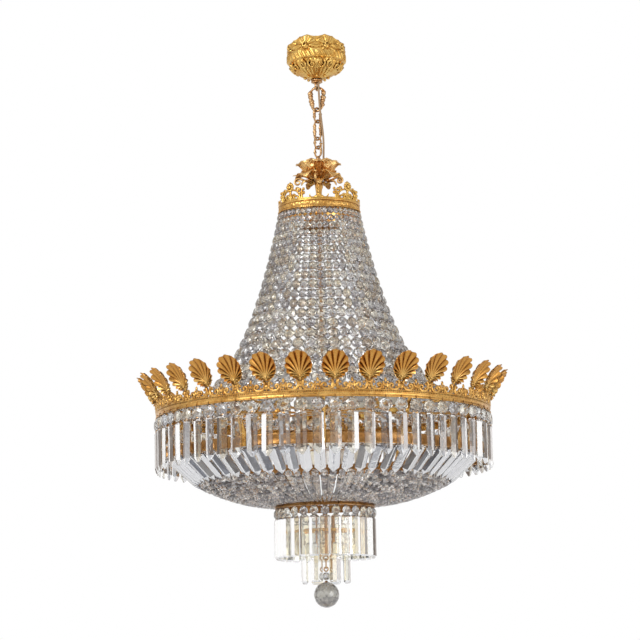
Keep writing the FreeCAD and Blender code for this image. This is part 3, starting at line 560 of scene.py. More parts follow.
# -------- ceiling fitting
def canopy_relief(a, r, z):
    """Eight fans of flutes round an eye, a band of slanting gadroons, leaves on the dome."""
    bottom = low("ceiling_canopy")
    u = (((a - radians(-90)) * 8 / (2 * pi)) % 1.0 - 0.5) * 2 * pi * 62 / 8
    v = z + 27.0
    distance = np.hypot(u, v)
    bearing = np.arctan2(u, v)
    fan = np.clip((distance - 6) / 3, 0, 1) * np.clip((29 - distance) / 4, 0, 1) * (z > -39)
    relief = fan * (0.8 + 3.4 * np.abs(np.cos(4.5 * bearing)) ** 0.8)
    relief = relief + 5.0 * np.sqrt(np.clip(1 - (distance / 6.5) ** 2, 0, 1))
    band = np.clip((-37 - z) / 1.5, 0, 1) * np.clip((z + 55) / 2, 0, 1)
    relief = relief * (1 - band) + band * (2.6 + 2.4 * np.abs(np.sin(a * 18 + z * 0.14)))
    dome = np.clip((-56 - z) / 3, 0, 1)
    leaf_form = 2.0 * np.abs(np.cos(a * 4)) + 1.0 * np.cos(a * 32)
    return (relief * (1 - dome)
        + dome * leaf_form * np.clip(r / 60.0, 0, 1) * np.clip((z - bottom) / 12, 0, 1))


def canopy():
    outer = [(63.5, z) for z in np.arange(-0.2, -51, -1.2)]
    outer += [(r, z) for r, z in smooth([(63, -52), (61.5, -57), (58.5, -62), (54, -68), (48, -74),
        (40, -80), (31, -85), (21, -89), (12.6, -91.6)], 4)]
    inner = [(6, -91.8), (6, -89.5), (11, -88.5), (34, -79), (51, -63), (60, -50), (60, -0.2)]
    points, faces = revolve(outer + inner, 360, canopy_relief)
    a = np.arctan2(points[:, 1], points[:, 0]) + pi / 2
    side = np.abs(np.sin(a))
    drop = 13.0 * np.clip((side - 0.45) / 0.55, 0, 1) ** 1.2 + 4.0 * np.exp(-(side / 0.13) ** 2)
    drop = drop + 2.4 * np.abs(np.sin(10 * a))
    near_top = np.clip((points[:, 2] + 34) / 34, 0, 1)
    points[:, 2] = np.minimum(points[:, 2] - np.clip(drop, 0, 16) * near_top, -0.1)
    items = [(points, faces)]
    for k in range(8):
        for sign in (1, -1):
            curl = spiral((sign * 9.5, -68.0), 70 if sign > 0 else 110, -sign * 460, 9.0, 1.4, 32)
            t = np.clip((-57 - curl[:, 1]) / 23.0, 0, 1)
            radius = 62 - 20 * t ** 1.4 + 2.0
            angle = curl[:, 0] / 50.0
            path = np.stack([radius * np.cos(angle), radius * np.sin(angle), curl[:, 1]], 1)
            items.append(turned(tapered(path, 3.0, 1.4, 8), -90 + 45 * k))
        path = on_drum(spiral((0, -24), 90, 300, 7.0, 2.4, 20), 68.0, 0.0)
        items.append(turned(tapered(path, 2.2, 1.4, 7), -67.5 + 45 * k))
        bud = ball((26.0, 0, -88.0), (4.5, 3.2, 3.6), 6, 9)
        items.append(turned(bud, -90 + 45 * k))
    make("canopy_cast", items, GILT, "gilt_brass", ["ceiling_canopy"], 55, "ceiling_mount")


def link_path(z_top, pitch, top_radius, bottom_radius, steps=14):
    """The centre line of a closed link in the XZ plane."""
    lean = degrees(asin((top_radius - bottom_radius) / (pitch - top_radius - bottom_radius)))
    path = []
    for centre, radius, start, sweep in ((z_top - top_radius, top_radius, -lean, 180 + 2 * lean),
            (z_top - pitch + bottom_radius, bottom_radius, 180 + lean, 180 - 2 * lean)):
        for i in range(steps + 1):
            a = radians(start + sweep * i / steps)
            path.append((radius * cos(a), 0, centre + radius * sin(a)))
    dense = []
    for a, b in zip(path, path[1:] + path[:1]):
        a, b = np.array(a), np.array(b)
        parts = max(1, int(np.linalg.norm(b - a) / 1.6))
        dense += [a + (b - a) * k / parts for k in range(parts)]
    return np.array(dense)


def knotty(path, thick, knots, swell=1.45):
    """Cast wire that swells and turns along its length, plain where the next link bears."""
    z = path[:, 2]
    clear = np.clip(np.minimum(z.max() - z, z - z.min()) / 7.0 - 0.9, 0, 1)
    t = np.linspace(0, 2 * pi, len(path), endpoint=False)
    knots_here = 0.80 + 0.30 * np.abs(np.sin(knots * t))
    radius = thick / 2 * (0.94 + clear * (swell * knots_here - 0.94))
    return tube(path, radius, 10, True, 0.78, knots / 2)


def chain():
    collar = [(5.4, -92), (11, -92), (13, -93), (13, -94.5), (11.4, -95.5), (12.6, -97), (12.6, -98.5),
        (10.5, -99.5), (8.5, -101), (5.4, -101)]
    z_eye = low("canopy_collar") + 9 + 2.5
    fluted = revolve(collar, 64, lambda a, r, z: 0.5 * np.abs(np.cos(8 * a)) * (r > 9))
    make("collar_cast", [fluted, turned(tube(circle(0, z_eye, 9, 40), 2.5, 10, True), 70)], BRONZE,
        "antique_brass", ["canopy_collar"], body="ceiling_mount")
    for node, body, wide, pitch, tops, turn, swell in (
            ("bow_shackle", "shackle", 7.0, 55.0, (16.2, 11.0), -20, 1.85),
            ("chain_link_1", "link_1", 5.5, 34.4, (9.6, 9.6), 45, 1.5),
            ("chain_link_2", "link_2", 5.5, 45.7, (9.6, 9.6), -45, 1.6),
            ("chain_link_3", "link_3", 5.5, 26.8, (9.6, 9.6), 45, 1.45)):
        z_top = high(node) - wide / 2
        bar = knotty(link_path(z_top, pitch, *tops), wide, 7, swell)
        make(node + "_wire", [turned(bar, turn)], BRONZE, "antique_brass", [node], 60, body)
    z_top = high("hanging_loop") - 2.75
    foot = low("hanging_loop")
    neck = [(4.5, foot), (7.5, foot + 1), (7.5, foot + 3.5), (4.8, foot + 5), (4.2, foot + 8),
        (5.8, foot + 10), (5.8, foot + 12), (4.0, foot + 14), (3.2, foot + 18)]
    make("hanging_loop_cast", [turned(knotty(link_path(z_top, 25.0, 9.6, 9.6), 5.5, 6), -45),
        revolve(neck, 24, closed=False)], BRONZE, "antique_brass", ["hanging_loop"], 60)


def flex():
    """The flex in five stretches, each turning between two neighbours of the chain."""
    route = [(4.0, -8.6, COLLAR_FOOT), (4.4, -11.0, -149.1), (10.0, -14.0, -193.6),
        (14.0, -11.6, -238.2), (11.5, -5.2, -278.7)]
    z_end = high("finial_cup") + 0.3
    scale = (z_end - COLLAR_FOOT) / (route[-1][2] - COLLAR_FOOT)
    curve = bpy.data.curves.new("flex_route", "CURVE")
    curve.dimensions = "3D"
    curve.resolution_u = 24
    spline = curve.splines.new("NURBS")
    spline.points.add(len(route) - 1)
    for point, (x, y, z) in zip(spline.points, route):
        point.co = (x * MM, y * MM, (COLLAR_FOOT + (z - COLLAR_FOOT) * scale) * MM, 1)
    spline.order_u = 3
    spline.use_endpoint_u = True
    holder = bpy.data.objects.new("flex_route", curve)
    line = bpy.data.meshes.new_from_object(holder)
    path = np.array([v.co for v in line.vertices]) / MM
    bpy.data.objects.remove(holder)
    cuts = [path[0, 2]] + [(a + b) / 2 for a, b in zip(CHAIN_HINGES, CHAIN_HINGES[1:])] + [path[-1, 2]]
    heights = path[:, 2]
    for k in range(5):
        z = np.linspace(cuts[k], cuts[k + 1], 14)
        line_part = np.stack([np.interp(-z, -heights, path[:, i]) for i in (0, 1)] + [z], 1)
        piece = make("flex_stretch_%d" % (k + 1), [tube(line_part, 2.25, 12)], FLEX, "flex_sheath",
            ["supply_flex"] if k == 0 else (), 60, None)
        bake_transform(piece)


canopy()
chain()
flex()


# -------- crown
def leaf(spine, half_width, cup, thick=1.6, ribs=3, columns=13, relief=0.9, steps=7):
    """A ribbed leaf along (radius, height) spine points, drawn along +X."""
    path = smooth([(r, 0, z) for r, z in spine], steps)
    t = np.linspace(0, 1, len(path))[:, None]
    s = np.linspace(-1, 1, columns)[None, :]
    along = np.gradient(path, axis=0)
    along /= np.linalg.norm(along, axis=1)[:, None]
    out = np.stack([-along[:, 2], np.zeros(len(path)), along[:, 0]], 1)
    teeth = 1 - 0.16 * np.abs(np.sin(t * pi * 4.5)) * np.abs(s) ** 3
    width = half_width * (np.sin(pi * np.clip(t, 0, 1) ** 0.95) ** 0.7 * 0.92 + 0.08) * teeth
    swell = np.sin(pi * t)
    lift = cup * s ** 2 * swell + relief * np.cos(ribs * pi * s) * swell ** 0.5
    surface = path[:, None, :] + lift[:, :, None] * out[:, None, :]
    surface = surface + (s * width)[:, :, None] * np.array((0, 1.0, 0))
    return shell(surface, thick)


def finial():
    cup_low, cup_top = span("finial_cup")
    cup = [(8.5, cup_low), (12, cup_low + 3), (14.5, cup_low + 8), (18.6, cup_low + 13),
        (19, cup_low + 20), (17.5, cup_top - 8), (18.6, cup_top - 3), (16.5, cup_top), (5.0, cup_top)]
    lobed = revolve(cup, 60, lambda a, r, z: 0.9 * np.abs(np.cos(5 * a)) * (r > 11) - 0.9, False)
    make("finial_cup_cast", [lobed], LEAF, "antique_brass", ["finial_cup"], 50)
    foot = cup_low + 3
    items = []
    for k in range(5):
        azimuth = -88 + 72 * k
        rise = 1 + 0.05 * sin(2.4 * k + 1.5)
        broad = [(15.6, foot), (20, foot + 6), (26, foot + 14 * rise), (33, foot + 23 * rise),
            (40, foot + 30 * rise), (46, foot + 33 * rise), (51, foot + 31 * rise)]
        items.append(turned(leaf(broad, 33.0, 10.0, 1.8, 8, 65, 1.6), azimuth))
        second = [(15.4, foot - 1), (23, foot + 3), (33, foot + 9), (42, foot + 11), (49, foot + 7),
            (52, foot - 1)]
        items.append(turned(leaf(second, 19.0, 3.0, 1.8, 6, 41, 1.2), azimuth + 36))
        inner = [(19.4, foot + 14), (21, foot + 24), (24, foot + 33), (29, foot + 38), (34, foot + 37)]
        items.append(turned(leaf(inner, 14.0, 3.0, 1.6, 5, 33, 1.0), azimuth + 36))
        hanging = [(14.6, foot - 2), (22, foot - 5), (31, foot - 4), (38, foot - 8), (41, foot - 16)]
        items.append(turned(leaf(hanging, 12.0, -2.0, 1.6, 4, 25, 0.9), azimuth))
    for k in range(4):
        flat = np.vstack([[(15.0, -3.0), (28.0, -3.0), (40.0, 3.0)],
            spiral((48.0, -4.0), 110, -460, 8.8, 2.2, 30)])
        path = np.stack([flat[:, 0], np.zeros(len(flat)), flat[:, 1] + foot], 1)
        items.append(turned(tapered(path, 2.8, 1.6, 8), -8 + 90 * k))
    make("finial_leaves_cast", items, LEAF, "antique_brass", ["finial_leaves"], 60)
    items = []
    for k, points in enumerate((((24, -2), (34, 1), (43, 6)), ((30, -6), (42, -4), (52, -2)),
            ((30, -14), (46, -23), (59, -26)), ((26, 0), (34, 2), (42, -3)))):
        flat = np.vstack([[(18.9, -5.0), (21.0, -10.0)], spiral((28, -3), 230, -500, 9.5, 2.2, 34)])
        path = np.stack([flat[:, 0], np.zeros(len(flat)), flat[:, 1] + cup_top], 1)
        items.append(turned(tapered(path, 2.6, 1.4, 8), -40 + 90 * k))
        spike = smooth([(19.0, 0, cup_top - 6)] + [(r, 0, cup_top + z) for r, z in points], 6)
        items.append(turned(tapered(spike, 2.8, 0.9, 7), -6 + 90 * k))
    make("finial_tendrils_cast", items, LEAF, "antique_brass", ["finial_tendrils"], 60)
    vase_low, vase_top = span("finial_vase")
    items = []
    for k in range(4):
        for sign in (1, -1):
            flat = spiral((16.8, vase_top - 3), 100, -560, 8.2, 1.6, 40)
            path = np.stack([flat[:, 0], np.full(len(flat), 1.6 * sign), flat[:, 1]], 1)
            items.append(turned(tapered(path, 2.4, 1.2, 7), -90 + 90 * k))
    make("finial_scrolls_cast", items, GILT, "antique_brass", ["finial_scrolls"], 60)
    h = vase_top - vase_low
    vase = [(5.3, vase_low), (8.5, vase_low), (8.5, vase_low + 3), (6.8, vase_low + 5)]
    vase += [tuple(p) for p in smooth([(6.0, vase_low + 0.12 * h), (5.9, vase_low + 0.3 * h),
        (6.4, vase_low + 0.5 * h), (7.6, vase_low + 0.68 * h), (8.5, vase_low + 0.82 * h)], 4)]
    vase += [(7.6, vase_low + 0.88 * h), (8.5, vase_low + 0.93 * h), (8.5, vase_top), (5.3, vase_top)]
    make("finial_vase_cast", [revolve(vase, 72, lambda a, r, z: 0.35 * np.cos(12 * a) * (r > 5.5))],
        RING_GILT, "gilt_brass", ["finial_vase"], 50)


def top_ring():
    z = low("top_ring")
    outer = [(91.6, 0), (93.2, 0.6), (93.2, 2.6), (91.4, 3.4), (91.0, 4.6)]
    outer += [(90.9 + 1.3 * sin(pi * (k + 1) / 12), 4.6 + 0.85 * (k + 1)) for k in range(11)]
    outer += [(91.2, 14.6), (92.9, 15.4), (93.4, 17), (93.0, 18.6), (91.0, 19)]
    profile = [(r, z + h) for r, h in outer] + [(87.5, z + 19), (87.5, z)]

    def embossed(a, r, height):
        inside = (r > 89) * np.clip((height - z - 4.8) / 1.2, 0, 1)
        inside = inside * np.clip((z + 14.2 - height) / 1.2, 0, 1)
        wave = np.sin(36 * a) * (height - z - 9.5) * 0.35
        return inside * (1.3 * np.abs(np.cos(36 * a + wave)) - 0.6)
    items = [revolve(profile, 432, embossed)]
    items += around([ball((93.0, 0, z + 2.0), 1.5, 4, 6)], 120)
    make("top_ring_cast", items, RING_GILT, "gilt_brass", ["top_ring"], 60)


def gallery():
    """Four rosettes between scrolls, four low mounds between them, and paired knobs."""
    z = low("top_gallery")
    radius = 90.5
    crest = []
    for sign in (1, -1):
        base = np.vstack([[(sign * 24, 1.5), (sign * 20, 7), (sign * 13, 10)],
            spiral((sign * 8.5, 6.5), 60 if sign > 0 else 120, sign * 420, 6.5, 1.6, 22)])
        crest.append(tube(on_drum(smooth(base, 2), radius, z), 2.6, 7))
        arm = smooth([(sign * 27, 2), (sign * 25, 12), (sign * 20, 19),
            (sign * 13, 22), (sign * 7, 23)], 5)
        crest.append(tapered(on_drum(arm, radius, z), 2.9, 2.0, 7))
        ear = spiral((sign * 19, 24), -100 if sign > 0 else -80, sign * 380, 5.4, 1.6, 20)
        crest.append(tapered(on_drum(ear, radius, z), 2.6, 1.5, 7))
    for i in range(9):
        a = 2 * pi * i / 9
        crest.append(ball((radius + 1.2, 7.6 * sin(a), z + 30 + 7.6 * cos(a)), (3.2, 4.0, 4.0)))
    crest.append(ball((radius + 3.2, 0, z + 30), (3.2, 4.6, 4.6)))
    crest.append(ball((radius, 0, z + 40.4), (2.0, 2.4, 2.4)))
    crest.append(tube(on_drum([(0, 1), (0, 9), (0, 22)], radius, z), 2.8, 8))
    crest.append(ball((radius + 0.6, 0, z + 13), (3.0, 4.4, 4.0)))
    post = [tube(on_drum([(0, 1), (0, 10), (0, 21)], radius, z), 2.6, 8)]
    for side in (-4.4, 4.4):
        for up, size in ((14.0, 4.2), (22.5, 3.6)):
            post.append(ball((radius + 0.8, side, z + up), (3.4, size, size)))
    mound = [ball((radius, 0, z + 3.5), (2.6, 11, 5.2), 6, 12),
        ball((radius + 0.6, 0, z + 9.0), (2.2, 4.5, 4.0))]
    for sign in (1, -1):
        sweep = smooth([(sign * 9, 3), (sign * 15, 2.2), (sign * 20, 5), (sign * 21, 10)], 5)
        mound.append(tapered(on_drum(sweep, radius, z), 2.0, 1.4, 6))
    base = tube(on_drum([(s, 1.4) for s in np.linspace(-35.5, 35.5, 24)], radius, z), 2.2, 6)
    items = around(crest, 4, -45) + around(post, 4, -90 + 25) + around(post, 4, -90 - 25)
    items += around(mound, 4, -90) + around([base], 8, -90)
    make("top_gallery_cast", items, GILT, "gilt_brass", ["top_gallery"], 60)


finial()
top_ring()
gallery()


# -------- bead tent
def catenary(r_top, z_top, r_bottom, z_bottom, curve):
    share = (r_bottom - r_top) / curve
    mean = asinh((z_top - z_bottom) / (2 * curve * sinh(share / 2)))
    u_top, u_bottom = mean + share / 2, mean - share / 2
    length = curve * (sinh(u_top) - sinh(u_bottom))

    def point(distance):
        u = asinh(sinh(u_top) - distance / curve)
        return np.array((r_top + curve * (u_top - u), 0, z_top - curve * (cosh(u_top) - cosh(u))))
    return length, point


def jitter(item, amount):
    """A hung crystal turned a little by chance."""
    return turned(item, chance.uniform(-amount, amount))


def tent():
    length, point = catenary(89.5, low("top_ring") - 0.3, 355.6, BAND_TOP + 4.3, 109.0)
    count = 23
    raw = np.linspace(16.5, 31.0, count)
    pitches = raw * length / raw.sum()
    strands = 45
    beads, pins = [], []
    for k in range(strands):
        distance = 0.0
        azimuth = -90 + 360.0 * k / strands
        for pitch in pitches:
            size = pitch - 0.4
            top, bottom = point(distance + 0.2), point(distance + pitch - 0.2)
            along = (bottom - top) / np.linalg.norm(bottom - top)
            wide = min(1.06 * size, 2 * pi * top[0] / strands + 1.6)
            bead = jitter(cut_bead(wide, size, size * 0.55, True), 12)
            beads.append(turned(placed(bead, (top + bottom) / 2, along), azimuth))
            pin = wire(point(distance) - along * 2.2, top + along * 2.2, 0.6, 0.9)
            pins.append(turned(pin, azimuth))
            distance += pitch
    make("tent_crystals", beads, CRYSTAL, "crystal", ["tent_beads"], 0)
    make("tent_pins", pins, BRONZE, "antique_brass")


tent()


# -------- main ring
def main_ring():
    z, top = BAND_LOW, BAND_TOP
    h = top - z
    face = [(374.4, z), (375.6, z + 0.6), (375.6, z + 2.2), (374.6, z + 3.0), (374.4, z + 0.52 * h),
        (375.0, z + 0.56 * h), (376.2, z + 0.62 * h), (376.2, z + 0.70 * h), (374.8, z + 0.75 * h),
        (374.6, z + 0.82 * h), (376.0, z + 0.86 * h), (376.4, z + 0.93 * h), (375.6, top), (372, top)]
    shelf = [(355.2, top), (355.2, top - 2.6), (371.6, top - 2.6), (371.6, z)]
    items = [revolve(face + shelf, 320)]
    items += around([ball((375.6, 0, z + 0.78 * h), (1.0, 1.6, 1.2), 4, 6)], 512)
    items += around([ball((375.2, 0, z + 0.30 * h), (1.2, 1.5, 1.5), 4, 7)], 64, FRONT)
    make("main_ring_cast", items, RING_GILT, "gilt_brass", ["main_ring"], 50)


def frieze():
    """Thirty-two bays of scrollwork: a post, two scrolls and a small fleuron."""
    z = BAND_TOP - 1.5
    radius = RING_FACE
    posts, bays = [], []
    for sign in (1, -1):
        line = [(7.5, 22.5), (5.2, 18.5), (5.0, 11), (8.5, 4.5), (16, 1.9), (23, 3.0), (27.4, 7.2),
            (27.0, 12.2), (23.2, 14.4), (19.8, 12.2), (20.4, 8.8), (23.4, 8.6)]
        curl = smooth([(sign * a, b) for a, b in line], 4)
        bays.append(tapered(on_drum(curl, radius, z), 3.5, 2.6, 8))
        rise = smooth([(sign * 29.0, 1.5), (sign * 31.5, 6), (sign * 30.8, 12), (sign * 33.6, 15.2)], 4)
        bays.append(tube(on_drum(rise, radius, z), 2.5, 6))
        bays.append(ball((radius + 0.6, sign * 13.0, z + 7.2), (2.2, 3.0, 3.0)))
        bays.append(ball((radius + 0.6, sign * 11.5, z + 16.5), (2.0, 2.6, 3.2)))
    knobs = [ball((radius + 0.5, 0, z + up), (3.0, size, size)) for up, size in
        ((3.6, 4.4), (10.6, 4.0), (17.2, 3.6), (23.0, 3.2))]
    big = [ball((radius + 1.0, 0, z + 9.5), (5.0, 7.0, 7.0), 7, 12),
        ball((radius, 0, z + 19), (2.4, 2.6, 2.6)), ball((radius, 0, z + 2), (2.4, 2.8, 2.2))]
    cross = [tube(on_drum(smooth([(-6 * s, 2), (0, 9.5), (6 * s, 17)], 5), radius, z), 2.2, 7)
        for s in (1, -1)]
    cross.append(ball((radius + 1, 0, z + 9.5), 3.4))
    for k in range(BAYS):
        post = big if k % 4 == 2 else cross if k % 4 == 0 else knobs
        posts += [turned(item, FRONT + 360.0 * k / BAYS) for item in post]
    bloom = [ball((radius + 0.5, 0, z + 21.5), (2.4, 3.2, 5.6)),
        ball((radius, 0, z + 4.0), (2.2, 3.0, 3.4)), ball((radius, 0, z + 11.0), (2.2, 2.6, 4.4))]
    for s in (1, -1):
        petal = smooth([(0, 8), (s * 3.6, 12.0), (s * 5.8, 18)], 4)
        bloom.append(tapered(on_drum(petal, radius, z), 1.8, 2.6, 7))
    items = around(bays, BAYS, FRONT) + around(bloom, BAYS, FRONT + 180.0 / BAYS) + posts
    make("ring_frieze_cast", items, RING_GILT, "gilt_brass", ["ring_frieze"], 60)


def palmette():
    """A ribbed fan with a scalloped edge, drawn upright: across, up, out."""
    ribs = 19
    columns = ribs * 6 + 1
    spread = radians(152)
    angle = np.linspace(-spread, spread, columns)[None, :]
    root = 9.0
    centre, long, wide = 38.0, 34.0, 28.8
    c, s = np.cos(angle), np.sin(angle)
    a2 = (s / wide) ** 2 + (c / long) ** 2
    b2 = 2 * c * (root - centre) / long ** 2
    c2 = ((root - centre) / long) ** 2 - 1
    edge = (-b2 + np.sqrt(b2 * b2 - 4 * a2 * c2)) / (2 * a2)
    phase = np.abs(np.sin(ribs * pi * (angle + spread) / (2 * spread)))
    t = np.linspace(0.06, 1, 12)[:, None]
    reach = edge * t * (1 - 0.07 * (1 - phase) * t ** 2)
    ridge = (2.6 + 3.0 * t) * (phase ** 0.7 - 0.5) * np.clip(t * 1.6, 0, 1)
    curve = 3.5 - 6.5 * np.sin(pi * 0.62 * t) + 7.0 * t ** 3 + 3.0 * (s * t) ** 2
    return shell(np.stack([reach * s, root + reach * c, curve + ridge], 2), 1.4)


def palmettes():
    z_foot = low("palmettes")
    lean = radians(33.0)
    fan = palmette()
    parts = [fan]
    for sign in (1, -1):
        curl = np.vstack([[(sign * 2.0, 0.0), (sign * 3.4, 4.0)],
            spiral((sign * 6.6, 6.5), 180 if sign > 0 else 0, -sign * 400, 4.0, 1.2, 20)])
        parts.append(tube(np.column_stack([curl, np.full(len(curl), 1.4)]), 1.5, 6))
    parts.append(ball((0, 4.5, 1.0), (3.6, 5.0, 2.6), 6, 10))
    parts.append(ball((0, 10.5, 2.2), (3.0, 3.4, 2.4), 5, 9))
    placed_parts = []
    for points, faces in parts:
        p = np.asarray(points, float)
        x = 373.2 + p[:, 1] * sin(lean) + p[:, 2] * cos(lean)
        z = z_foot + 1.2 + p[:, 1] * cos(lean) - p[:, 2] * sin(lean)
        placed_parts.append((np.stack([x, p[:, 0], z], 1), [f[::-1] for f in faces]))
    make("palmettes_cast", around(placed_parts, BAYS, FRONT), FAN_GILT, "gilt_brass",
        ["palmettes"], 70)


main_ring()
frieze()
palmettes()


# -------- lamps
def lamps():
    foot, top = span("lamp_cups")
    cup = [(0.5, foot), (11, foot), (12.5, foot + 2), (15, foot + 5), (17, top - 1), (16.4, top),
        (14.8, top - 0.5), (11.8, foot + 2.2), (0.5, foot + 2.1)]
    z, end = span("lamp_holders")
    sleeve = [(0.5, z), (10.9, z), (10.9, end - 1), (10.2, end),
        (7.7, end), (7.7, end - 22), (0.5, end - 22.2)]
    cap, tip = span("candle_bulbs")
    body = tip - end
    flame = [(0.5, cap), (6.9, cap + 1), (6.9, end + 0.4)]
    flame += [tuple(p) for p in smooth([(8, end + 2),
        (13.5, end + 0.16 * body), (17.2, end + 0.36 * body),
        (14.8, end + 0.58 * body), (8.6, end + 0.80 * body),
        (3.2, end + 0.94 * body), (0.5, tip)], 4)]
    for name, profile, material, slot, node in (
            ("lamp_cups_turned", cup, GILT, "gilt_brass", "lamp_cups"),
            ("lamp_sleeves", sleeve, SLEEVE, "candle_sleeve", "lamp_holders"),
            ("lamp_bulbs", flame, BULB, "bulb_glass", "candle_bulbs")):
        item = moved(revolve(profile, 28, closed=False), (LAMP_CIRCLE, 0, 0))
        make(name, around([item], 8, 11.25), material, slot, [node], 50)


lamps()


# -------- skirt and basket
def skirt():
    z = BAND_LOW - 0.3
    beads, prisms, pins = [], [], []
    for k in range(SKIRT):
        azimuth = FRONT + 360.0 * k / SKIRT
        bead = jitter(cut_bead(32.0, 28.8, 12, True), 7)
        beads.append(hung(bead, RING_FACE, z - 14.5, azimuth))
        swing = chance.uniform(-1.2, 1.2)
        prism = jitter(cut_prism(92, 24.6, 10, 11, chance.uniform(-0.3, 0.3), 0.25, 0.22), 12)
        p = prism[0].copy()
        p[:, 1] += p[:, 2] * tan(radians(swing))
        prisms.append(hung((p, prism[1]), RING_FACE, z - 29.3, azimuth))
        for up in (0.0, -29.2):
            pins.append(turned(tube(circle(RING_FACE, z + up, 3.4, 9), 0.7, 5, True), azimuth))
    make("skirt_octagon_crystals", beads, CRYSTAL, "crystal", ["skirt_octagons"], 0)
    make("skirt_prism_crystals", prisms, BAR_CRYSTAL, "crystal", ["skirt_prisms"], 0)
    make("skirt_pins", pins, BRONZE, "antique_brass")
    z, top = span("lower_hoop")
    r = HOOP_R
    hoop = [(r - 3.4, z), (r - 0.4, z), (r + 0.1, z + 2), (r - 0.9, z + 4),
        (r - 0.9, top - 4), (r + 0.1, top - 2), (r - 0.4, top), (r - 3.4, top)]
    make("lower_hoop_cast", [revolve(hoop, 192)], SHADED_GILT, "gilt_brass", ["lower_hoop"])


def basket():
    start = np.array((HOOP_R - 1.75, 0, low("lower_hoop") - 0.3))
    knee = np.array((280.0, 0, low("lower_hoop") - 53.0))
    fall = knee - start
    reach = np.linalg.norm(fall)
    along = fall / reach
    bars = []
    for k in range(SKIRT):
        bar = jitter(cut_prism(reach, 24.5, 11, 13, chance.uniform(-0.3, 0.3), 0.1, 0.12), 12)
        bars.append(turned(placed(moved(bar, (4, 0, 0)), start, along), FRONT + 360.0 * k / SKIRT))
    make("basket_bar_crystals", bars, HOOP_CRYSTAL, "crystal", ["basket_bars"], 0)
    end = np.array((113.0, 0, low("bottom_ring") + 8.5))
    beads = []
    count = 17
    strands = 88
    raw = np.linspace(17.5, 8.0, count)
    share = np.concatenate([[0], np.cumsum(raw / raw.sum())])

    def point(t):
        return knee + (end - knee) * t + np.array((0, 0, -10.0 * sin(pi * t)))
    for k in range(strands):
        azimuth = FRONT + 360.0 * k / strands
        for i in range(count):
            top, bottom = point(share[i]), point(share[i + 1])
            pitch = np.linalg.norm(bottom - top)
            direction = (bottom - top) / pitch
            size = pitch - 0.6
            wide = 2 * pi * top[0] / strands - 0.3
            bead = jitter(cut_bead(wide, size, size * 0.8, False, 6), 40)
            beads.append(turned(placed(bead, (top + bottom) / 2, direction), azimuth))
    make("basket_crystals", beads, BASKET_CRYSTAL, "crystal", ["basket_beads"], 0)


def bottom():
    z, top = span("bottom_ring")
    ring = [(105.2, z), (109, z), (111.4, z + 0.8), (111.9, z + 2.6), (110.6, z + 4.2),
        (109.6, z + 6.5), (109.6, z + 10.0), (110.8, z + 12.2), (112.0, z + 13.6),
        (111.8, z + 15.6), (110.6, top), (105.2, top)]
    items = [revolve(ring, 288, lambda a, r, h: (r > 109) * (r < 110.2) * 0.9 * np.abs(np.cos(30 * a)))]
    items += around([ball((111.4, 0, z + 14.6), 1.4, 4, 6)], 140)
    make("bottom_ring_cast", items, SHADED_GILT, "antique_brass", ["bottom_ring"], 55)
    beads, prisms, pins = [], [], []
    radius = 108.5
    for k in range(28):
        azimuth = -90 + 360.0 * k / 28
        bead = jitter(cut_bead(21.4, 21.6, 12, True), 12)
        beads.append(hung(bead, radius, z - 11.3, azimuth))
        prism = jitter(cut_prism(89, 23.6, 10, 4, chance.uniform(-0.25, 0.25), 0.75, 0.35), 8)
        prisms.append(hung(prism, radius, z - 22.7, azimuth))
        for up in (0.0, -22.4):
            pins.append(turned(tube(circle(radius, z + up, 2.8, 9), 0.6, 5, True), azimuth))
    make("bottom_octagon_crystals", beads, CRYSTAL, "crystal", ["bottom_beads"], 0)
    make("bottom_prism_crystals", prisms, DROP_CRYSTAL, "crystal", ["bottom_prisms"], 0)
    make("bottom_pins", pins, BRONZE, "antique_brass")


skirt()
basket()
bottom()


# -------- inner ring and ball
def inner():
    z, top = low("inner_ring"), low("inner_ring") + 4.0
    ring = [(50.6, z + 0.4), (53.9, z), (54.5, z + 1.2), (54.5, z + 2.8),
        (53.9, top), (50.6, top - 0.4)]
    hub = [(5.4, z), (10.4, z), (11, z + 1), (11, z + 3), (9.4, z + 4.2),
        (8.8, z + 6), (9.6, z + 8), (5.4, z + 8)]
    spoke = tube([(9, 0, z + 2), (30, 0, z + 2), (51.5, 0, z + 2)], 1.9, 8)
    make("inner_ring_cast", [revolve(ring, 96), revolve(hub, 32)] + around([spoke], 4), GILT,
        "gilt_brass", ["inner_ring"], 50)
    radius = 52.5
    beads, pins = [], []
    for k in range(8):
        azimuth = -90 + 22.5 + 45 * k
        for up in (6.9, 20.3):
            bead = jitter(cut_bead(13.6, 13.0, 8.5, True), 30)
            beads.append(hung(bead, radius, z - 0.3 - up, azimuth))
        for up in (0.0, -13.4):
            pins.append(turned(tube(circle(radius, z + up, 1.6, 8), 0.5, 5, True), azimuth))
        prism = jitter(cut_prism(88.4, 27, 9.5, 4, chance.uniform(-0.25, 0.25), 0.75, 0.35), 4)
        body = "inner_prism_%d" % (k + 1)
        make("inner_prism_crystal_%d" % (k + 1), [hung(prism, radius, INNER_HINGE, azimuth)],
            DROP_CRYSTAL, "crystal", [body], 0, body)
    make("inner_bead_crystals", beads, CRYSTAL, "crystal", ["inner_beads"], 0)
    make("inner_pins", pins, BRONZE, "antique_brass")


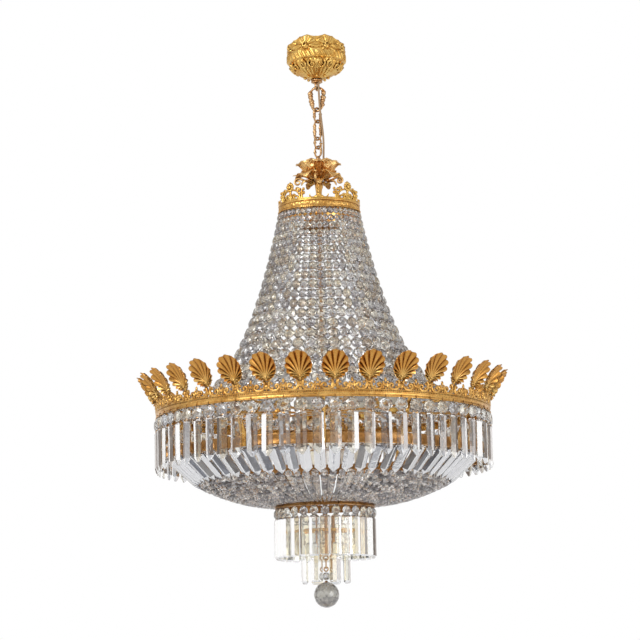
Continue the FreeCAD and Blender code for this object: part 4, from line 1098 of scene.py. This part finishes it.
def ball_drop():
    foot, top = span("stem_eye")
    nut = [(0.5, top), (8, top), (8, top - 3), (6.6, top - 5), (5, top - 7), (0.5, top - 7)]
    eye = tube(circle(0, foot + 5 + 1.5, 5, 30), 1.5, 9, True)
    make("stem_eye_cast", [revolve(nut, 24, closed=False), eye], BRONZE, "antique_brass", ["stem_eye"])
    z_top = high("ball_hook") - 1.5
    make("ball_hook_wire", [turned(tube(link_path(z_top, 22.0, 4.6, 4.6), 1.5, 9, True), 90)], BRONZE,
        "antique_brass", ["ball_hook"], 60, "hook")
    z_loop = (high("ball_loop") + low("ball_loop")) / 2
    loop = tube(circle(0, z_loop, 4.6, 28), 1.5, 9, True)
    make("ball_loop_wire", [loop], BRONZE, "antique_brass", ["ball_loop"], 60, "ball")
    a, b = span("ball_neck_bead")
    make("ball_neck_crystal", [moved(cut_bead(15, b - a, 15, True), (0, 0, (a + b) / 2))], CRYSTAL,
        "crystal", ["ball_neck_bead"], 0, "ball")
    a, b = span("ball_cap")
    cap = revolve([(0.4, a), (4, a), (3.4, a + 1.2), (2.2, b), (0.4, b)], 20, closed=False)
    make("ball_cap_turned", [cap], BRONZE, "antique_brass", ["ball_cap"], body="ball")
    a, b = span("crystal_ball")
    radius, sides = 28.4, 16
    tilts = [9, 26, 42, 58, 74, 90, 106, 122, 138, 154, 171]
    points, faces = [], []
    for k, tilt in enumerate(tilts):
        for i in range(sides):
            angle = 2 * pi * (i + 0.5 * (k % 2)) / sides
            points.append((radius * sin(radians(tilt)) * cos(angle),
                radius * sin(radians(tilt)) * sin(angle),
                (a + b) / 2 + (b - a) / 2 * cos(radians(tilt)) / cos(radians(9))))
    for k in range(len(tilts) - 1):
        for i in range(sides):
            j = (i + 1) % sides
            up, dn = k * sides, (k + 1) * sides
            if k % 2:
                faces += [[up + i, dn + i, dn + j], [up + i, dn + j, up + j]]
            else:
                faces += [[up + i, dn + i, up + j], [dn + i, dn + j, up + j]]
    last = (len(tilts) - 1) * sides
    faces += [list(range(sides)), list(range(last, last + sides))[::-1]]
    make("crystal_ball_cut", [(np.array(points), faces)], BALL_CRYSTAL,
        "crystal", ["crystal_ball"], 0, "ball")


inner()
ball_drop()


# -------- what stays as the model has it
for names, material in ((("ceiling_bracket", "threaded_nipple", "nipple_nuts"), STEEL),
        (("terminal_block",), PLASTIC),
        (("centre_stem", "stem_nuts", "crown_dish", "crown_arms"), SHADED_GILT),
        (("spider_hub", "spider_arms", "hoop_straps", "bottom_spokes"), RING_GILT)):
    for name in names:
        kept = nodes[name]
        for place in kept.material_slots:
            place.material = material

# -------- floor
floor_mesh = bpy.data.meshes.new("floor")
floor_mesh.from_pydata([(-6, -6, 0), (6, -6, 0), (6, 6, 0), (-6, 6, 0)], [], [[0, 1, 2, 3]])
floor = bpy.data.objects.new("floor", floor_mesh)
floor.location = (0, 0, -2.6)
floor_mesh.materials.append(shader("floor_pale",
    plain, (0.93, 0.93, 0.93), (0.91, 0.91, 0.91), 0.8, 3.0))
link(floor)
